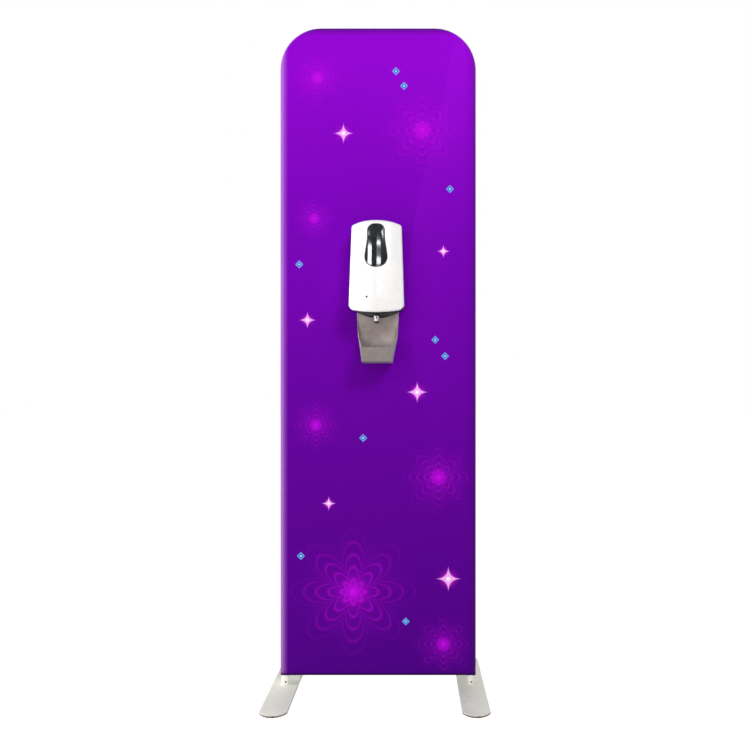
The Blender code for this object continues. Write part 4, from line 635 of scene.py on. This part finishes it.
def sleeve_mesh(name, side):
    """Half of the sleeve as one sheet, from the side seam over the tube to the middle of the panel."""
    low, high = PANEL_BOTTOM + ROUND, PANEL_TOP - ROUND
    outline = panel_points(POST_X, low, high, CORNER - ROUND)
    rows = []
    for step in range(11):
        a = math.pi / 2 * step / 10
        row = []
        for x, z, nx, nz in outline:
            reach = hem_reach(a) if nz < 0 else ROUND
            row.append((x + nx * ROUND * math.cos(a), side * (reach * math.sin(a) * 0.999 + 0.0001),
                        z + nz * reach * math.cos(a)))
        rows.append(row)
    for step in range(1, 15):
        share = step / 14
        give = (POST_X - 0.0005) * share
        sink = 0.0004 * math.sin(min(1.0, share * 3) * math.pi / 2)
        row = []
        for x, z, nx, nz in outline:
            new_x = x * (1 - share)
            new_z = min(max(z, low + give), high - give)
            wave = 0.00025 * math.sin(7 * new_x + 3.1 * new_z) * math.sin(5.3 * new_z + 1.7)
            row.append((new_x, side * (ROUND - sink + wave * share), new_z))
        rows.append(row)
    form = bmesh.new()
    form.from_mesh(grid_mesh(name, [row + row[:1] for row in rows], 0.0004))
    form.normal_update()
    near = Vector((0.1, side * ROUND, 1.0))
    middle = min(form.faces, key=lambda face: (face.calc_center_median() - near).length)
    if middle.normal.y * side < 0:
        bmesh.ops.reverse_faces(form, faces=form.faces)
    return thickened(from_form(name, form), CLOTH * 0.8)


def seam_points(inset):
    outline = panel_points(POST_X, PANEL_BOTTOM + ROUND, PANEL_TOP - ROUND, CORNER - ROUND)
    return [(x + nx * (ROUND - inset), 0, z + nz * (ROUND - inset)) for x, z, nx, nz in outline]


def hem_height(y):
    """Height of the hem's underside at this distance from the middle of the stand's depth."""
    y = abs(y)
    if y <= ROUND * math.sin(HEM_TURN):
        return PANEL_BOTTOM + ROUND - math.sqrt(ROUND ** 2 - y ** 2)
    return PANEL_BOTTOM + ROUND - (ROUND - y * math.sin(HEM_TURN)) / math.cos(HEM_TURN)


def binding_points(x, radius, count=48):
    """Round the edge of a post hole, along the hem."""
    turns = np.linspace(0, 2 * math.pi, count + 1)[:-1]
    return [(x + radius * math.cos(a), radius * math.sin(a), hem_height(radius * math.sin(a)))
            for a in turns]


def post_holes():
    return [rod_helper(f"post_hole_{side}", POST_HOLE, (side * POST_X, 0, PANEL_BOTTOM), (0, 0, 1), 0.03)
            for side in (-1, 1)]


def make_sleeve():
    holes = post_holes()
    for height in SCREW_HEIGHTS:
        for side in (-1, 1):
            holes.append(rod_helper(f"eyelet_{side}", EYELET_RADIUS, (side * SCREW_X, -ROUND, height),
                                    (0, 1, 0), 0.01))
    mesh = cut(sleeve_mesh("cloth_front", -1), holes)
    front = piece("cloth_front", mesh, "front", "frame", 60)
    gap = box_helper("zip_gap", (-ZIP_HALF, 0.01, ZIP_GAP[0]), (ZIP_HALF, 0.03, ZIP_GAP[1]))
    mesh = cut(sleeve_mesh("cloth_back", 1), [gap] + post_holes())
    back = piece("cloth_back", mesh, "back", "frame", 60)
    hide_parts("fabric_front")
    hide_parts("fabric_back")
    height = PANEL_TOP - PANEL_BOTTOM + 2 * SEAM_ALLOWANCE
    seam = wire_mesh("side_seam", seam_points(0.0003), SEAM_RADIUS)
    piece("side_seam", seam, "seam", "frame")
    for side, name in ((-1, "left"), (1, "right")):
        binding = wire_mesh("binding", binding_points(side * POST_X, POST_HOLE + 0.0002), BINDING_RADIUS)
        piece(f"post_binding_{name}", binding, "seam", "frame")
    make_zip_stitches()


def make_zip_stitches():
    """Lines of stitching above and below the zip."""
    half = ZIP_HALF + STITCH_OVERRUN
    pitch = 2 * half / STITCH_COUNT
    for name, z in (("lower", ZIP_GAP[0] - STITCH_OFFSET), ("upper", ZIP_GAP[1] + STITCH_OFFSET)):
        form = bmesh.new()
        for index in range(STITCH_COUNT):
            middle = pitch * (index + 0.5) - half
            made = bmesh.ops.create_cube(form, size=1)
            for vert in made["verts"]:
                taper = 0.7 if vert.co.y > 0 else 1
                vert.co = Vector((middle + vert.co.x * pitch * 0.66 * taper,
                                  ROUND - 0.0001 + vert.co.y * 0.0007, z + vert.co.z * 0.0009))
        bmesh.ops.bevel(form, geom=form.edges[:], offset=0.0002, segments=1, affect="EDGES")
        piece(f"zip_stitches_{name}", from_form("stitches", form), "seam", "frame")


def dome_at(x):
    return COVER_TOP - COVER_DOME * abs(x / COVER_HALVES[1]) ** DOME_POWER


def hem_at(x, y):
    """Height of the hood's lower edge: a shallow smile with turned-up toes, swept up towards the cloth."""
    toe = COVER_TOE * min(max((abs(x) - COVER_HALVES[0]) / TOE_RUN + 1, 0), 1) ** 2
    sweep = COVER_SWEEP * min(max((y - SWEEP_START) / (COVER_BACK - SWEEP_START), 0), 1) ** 2
    return COVER_BOTTOM + COVER_SMILE * (x / COVER_HALVES[0]) ** 2 + toe + sweep


def hood_plan(share, columns=36, steps=8):
    """The hood in plan at this share of its height: points set in by the rounding, with their ways out."""
    half = COVER_HALVES[0] + share * (COVER_HALVES[1] - COVER_HALVES[0])
    front = COVER_FRONTS[0] + share * (COVER_FRONTS[1] - COVER_FRONTS[0])
    reach = half - COVER_ROUNDING * (1 - math.sin(math.atan(2 * COVER_CROWN / half)))
    places = []
    for column in range(columns + 1):
        x = reach * (2 * column / columns - 1)
        angle = math.atan(2 * COVER_CROWN * x / half ** 2)
        way = (math.sin(angle), -math.cos(angle))
        y = -(front - COVER_CROWN * (x / half) ** 2)
        places.append((x - COVER_ROUNDING * way[0], y - COVER_ROUNDING * way[1], way))
    x, y, way = places[-1]
    first = math.atan2(way[1], way[0])
    turns = [first * (1 - step / steps) for step in range(1, steps + 1)]
    right = [(x, y, (math.cos(angle), math.sin(angle))) for angle in turns]
    right += [(x, y + (COVER_BACK - y) * share, (1, 0)) for share in (0.25, 0.5, 0.75, 1.0)]
    left = [(-x, y, (-way[0], way[1])) for x, y, way in reversed(right)]
    return left + places + right


def hood_rows(crown_rows=10, steps=8):
    """The skin from its rolled lower lip up the sides, over the rim and across the dome."""
    low, high = hood_plan(0), hood_plan(1)
    rows = []
    for step in range(6):
        angle = math.pi / 2 * step / 6
        out = COVER_ROUNDING - COVER_LIP * (1 - math.sin(angle))
        up = COVER_LIP * (1 - math.cos(angle))
        rows.append([(x + out * way[0], y + out * way[1],
                      hem_at(x + COVER_ROUNDING * way[0], y + COVER_ROUNDING * way[1]) + up)
                     for x, y, way in low])
    for share in (0.0, 0.2, 0.4, 0.6, 0.8):
        row = []
        for (x0, y0, way0), (x1, y1, way1) in zip(low, high):
            start = Vector((x0 + COVER_ROUNDING * way0[0], y0 + COVER_ROUNDING * way0[1], 0))
            end = Vector((x1 + COVER_ROUNDING * way1[0], y1 + COVER_ROUNDING * way1[1],
                          dome_at(x1) - COVER_ROUNDING))
            start.z = hem_at(start.x, start.y) + COVER_LIP
            row.append(start.lerp(end, share))
        rows.append(row)
    for step in range(steps + 1):
        angle = math.pi / 2 * step / steps
        out = COVER_ROUNDING * math.cos(angle)
        drop = COVER_ROUNDING * (1 - math.sin(angle))
        rows.append([(x + out * way[0], y + out * way[1], dome_at(x) - drop) for x, y, way in high])
    for row in range(1, crown_rows + 1):
        keep = 1 - row / crown_rows
        rows.append([(x * keep, COVER_BACK + (y - COVER_BACK) * keep, dome_at(x * keep))
                     for x, y, way in high])
    return rows


def hood_mesh(wall):
    return thickened(grid_mesh("hood", hood_rows()), wall)


def round_corners(corners, steps):
    """The outline through the corners, each given as x, z and the radius of its rounding."""
    points = []
    for index, (x, z, radius) in enumerate(corners):
        here = Vector((x, z))
        before = (Vector(corners[index - 1][:2]) - here).normalized()
        after = (Vector(corners[(index + 1) % len(corners)][:2]) - here).normalized()
        half = before.angle(after) / 2
        centre = here + (before + after).normalized() * radius / math.sin(half)
        start = here + before * radius / math.tan(half) - centre
        turn = math.pi - 2 * half
        way = 1 if start.x * (here - centre).y - start.y * (here - centre).x > 0 else -1
        for step in range(steps + 1):
            a = way * turn * step / steps
            points.append(centre + Vector((start.x * math.cos(a) - start.y * math.sin(a),
                                           start.x * math.sin(a) + start.y * math.cos(a))))
    return points


def plate_helper(name, outline, front, back):
    """An outline in X and Z, drawn out along Y."""
    form = bmesh.new()
    rings = [[form.verts.new((x, y, z)) for x, z in outline] for y in (front, back)]
    form.faces.new(rings[0])
    form.faces.new(rings[1][::-1])
    for i in range(len(outline)):
        j = (i + 1) % len(outline)
        form.faces.new([rings[0][j], rings[0][i], rings[1][i], rings[1][j]])
    bmesh.ops.recalc_face_normals(form, faces=form.faces)
    return helper(name, from_form(name, form))


def window_plate(clearance):
    """A cutter of the window's outline: rounded head, sloping shoulders and a wider foot."""
    head, foot = WINDOW_HEAD - clearance, WINDOW_FOOT - clearance
    top, bottom = WINDOW_TOP - clearance, WINDOW_BOTTOM + clearance
    swell, neck = WINDOW_BOTTOM + 0.036, WINDOW_BOTTOM + 0.084
    corners = [(-foot, bottom, 0.030), (foot, bottom, 0.030), (foot, swell, 0.030), (head, neck, 0.050),
               (head, top, 0.020), (-head, top, 0.020), (-head, neck, 0.050), (-foot, swell, 0.030)]
    return plate_helper("window_form", round_corners(corners, 12), -0.2, -0.05)


def make_hood():
    x, z = INDICATOR
    cutters = [window_plate(0), rod_helper("dot_cut", INDICATOR_HOLE, (x, -0.12, z), (0, 1, 0), 0.05),
               rod_helper("lock_cut", LOCK_HOLE, (0, LOCK_Y, COVER_TOP), (0, 0, 1), 0.04),
               box_helper("corner_cut", (-0.1, HINGE[0] + 0.0003, 1.12), (0.1, -0.02, HINGE[1]))]
    hood = piece("hood", cut(hood_mesh(COVER_WALL), cutters), "white", "cover", 38)
    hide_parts("dispenser_cover")
    edge = hood.modifiers.new("edge", "BEVEL")
    edge.width = 0.0005
    edge.segments = 2
    edge.limit_method = "ANGLE"
    edge.angle_limit = math.radians(50)
    pane = cut(hood_mesh(WINDOW_WALL), [window_plate(WINDOW_BORDER)], "INTERSECT")
    pane = piece("hood_window", pane, "smoked", "cover", 38)
    border = cut(hood_mesh(WINDOW_WALL), [window_plate(0.0003)], "INTERSECT")
    border = cut(border, [window_plate(WINDOW_BORDER)])
    border = piece("window_border", border, "border", "cover", 38)
    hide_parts("dispenser_window")
    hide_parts("dispenser_window")


def light(name, place, target, size, power, height=None, reflection_only=False):
    lamp = bpy.data.lights.new(name, "AREA")
    lamp.energy = power
    lamp.size = size
    if height:
        lamp.shape = "RECTANGLE"
        lamp.size_y = height
    made = bpy.data.objects.new(name, lamp)
    bpy.context.scene.collection.objects.link(made)
    made.location = place
    made.rotation_euler = (Vector(target) - Vector(place)).to_track_quat("-Z", "Y").to_euler()
    made.visible_camera = False
    if reflection_only:
        made.visible_diffuse = False
    return made


def make_floor():
    """The pale floor, which keeps the stand's shadow."""
    form = bmesh.new()
    bmesh.ops.create_grid(form, x_segments=1, y_segments=1, size=30)
    floor = helper("floor", from_form("floor", form))
    look = Look("floor_paint", srgb(250, 250, 249), 0.9)
    grain = look.noise(60.0)
    look.tint(look.mix(grain, srgb(248, 248, 247), srgb(252, 252, 252)))
    path = look.node("ShaderNodeLightPath")
    glow = look.node("ShaderNodeEmission", {"Color": (1, 1, 1, 1), "Strength": 1.40})
    both = look.node("ShaderNodeMixShader")
    look.feed(both.inputs[0], look.math("MULTIPLY", path.outputs["Is Camera Ray"], 0.62))
    look.feed(both.inputs[1], look.shader.outputs[0])
    look.feed(both.inputs[2], glow.outputs[0])
    look.feed(look.tree.nodes["Material Output"].inputs["Surface"], both.outputs[0])
    floor.data.materials.append(look.material)


def make_surround():
    """A soft world that shows as plain white to the camera, to metal and through glass."""
    world = bpy.data.worlds.new("studio")
    bpy.context.scene.world = world
    world.use_nodes = True
    tree = world.node_tree
    soft = tree.nodes["Background"]
    soft.inputs["Color"].default_value = (1, 1, 1, 1)
    soft.inputs["Strength"].default_value = 0.48
    white = tree.nodes.new("ShaderNodeBackground")
    white.inputs["Color"].default_value = (1, 1, 1, 1)
    white.inputs["Strength"].default_value = 1.0
    path = tree.nodes.new("ShaderNodeLightPath")
    seen = path.outputs["Is Camera Ray"]
    for kind in ("Is Glossy Ray", "Is Transmission Ray"):
        either = tree.nodes.new("ShaderNodeMath")
        either.operation = "MAXIMUM"
        tree.links.new(seen, either.inputs[0])
        tree.links.new(path.outputs[kind], either.inputs[1])
        seen = either.outputs[0]
    both = tree.nodes.new("ShaderNodeMixShader")
    tree.links.new(seen, both.inputs[0])
    tree.links.new(soft.outputs[0], both.inputs[1])
    tree.links.new(white.outputs[0], both.inputs[2])
    tree.links.new(both.outputs[0], tree.nodes["World Output"].inputs["Surface"])


def make_lights():
    light("key", (1.25, -2.5, 2.9), (0, 0, 1.1), 0.9, 44)
    light("fill", (-1.5, -2.2, 1.3), (0, 0, 1.0), 1.6, 14.5)
    light("left_rim", (-2.2, 0.12, 1.1), (-0.3, 0, 1.0), 0.5, 50, height=2.2)
    for name, x, z, size, power in STRIPS:
        light(name, (x, STRIP_Y, z), (0, -0.11, 1.30), size[0], power, height=size[1],
              reflection_only=True)


def make_camera():
    data = bpy.data.cameras.new("camera")
    data.lens = LENS
    data.sensor_width = 36
    data.shift_x, data.shift_y = SHIFT
    camera = bpy.data.objects.new("camera", data)
    camera.location = CAMERA_PLACE
    camera.rotation_euler = (math.pi / 2, 0, 0)
    bpy.context.scene.collection.objects.link(camera)
    bpy.context.scene.camera = camera
    bpy.context.scene.view_settings.view_transform = "Standard"


def turned_mesh(name, profile):
    """A shell turned about the nozzle's axis from radii and heights above its outlet."""
    y, low = NOZZLE
    rows = [[(radius * math.cos(a), y + radius * math.sin(a), low + height)
             for a in np.linspace(0, 2 * math.pi, 33)] for radius, height in profile]
    return thickened(grid_mesh(name, rows), NOZZLE_WALL, 1)


def make_nozzle():
    """The black seat, the white spout that tapers down to its gray ring, and a dark slot in front."""
    y, low = NOZZLE
    top, collar = NOZZLE_TOP - low, COLLAR_LOW - low
    seat = turned_mesh("seat", [(0.0030, top), (0.0082, top), (0.0085, top - 0.0008),
                                (0.0085, collar + 0.0006), (0.0079, collar), (0.0050, collar)])
    piece("nozzle_seat", seat, "black", "frame")
    spout = turned_mesh("spout", [(0.0030, collar + 0.0010), (0.0070, collar + 0.0010),
                                  (0.0073, collar - 0.0006), (0.0069, collar - 0.0040),
                                  (0.0058, collar - 0.0100), (0.0050, RING_HEIGHT + 0.0012),
                                  (0.0046, RING_HEIGHT), (0.0030, RING_HEIGHT)])
    spout = piece("nozzle_spout", spout, "white", "frame")
    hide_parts("nozzle")
    oval = []
    for a in np.linspace(0, 2 * math.pi, 25)[:-1]:
        x, z = 0.0017 * math.cos(a), collar - 0.0052 + 0.0036 * math.sin(a)
        reach = 0.0073 - (collar - z) * 0.16
        oval.append((x, y - math.sqrt(reach ** 2 - x ** 2) - 0.0003, low + z))
    form = bmesh.new()
    form.faces.new([form.verts.new(place) for place in oval])
    bmesh.ops.poke(form, faces=form.faces[:])
    slot = thickened(from_form("slot", form), 0.0006, 0)
    piece("nozzle_slot", slot, "slot", "frame")
    ring = turned_mesh("nozzle_ring", [(0.0042, RING_HEIGHT), (RING_RADIUS - 0.0002, RING_HEIGHT),
                                       (RING_RADIUS, RING_HEIGHT - 0.0008),
                                       (RING_RADIUS - 0.0008, 0.0008), (RING_RADIUS - 0.0014, 0.0001),
                                       (0.0040, 0.0001), (0.0036, 0.0006)])
    piece("nozzle_ring", ring, "rubber", "frame")


make_camera()
make_floor()
make_surround()
make_lights()
dress_nodes()
make_sleeve()
make_hood()
make_nozzle()
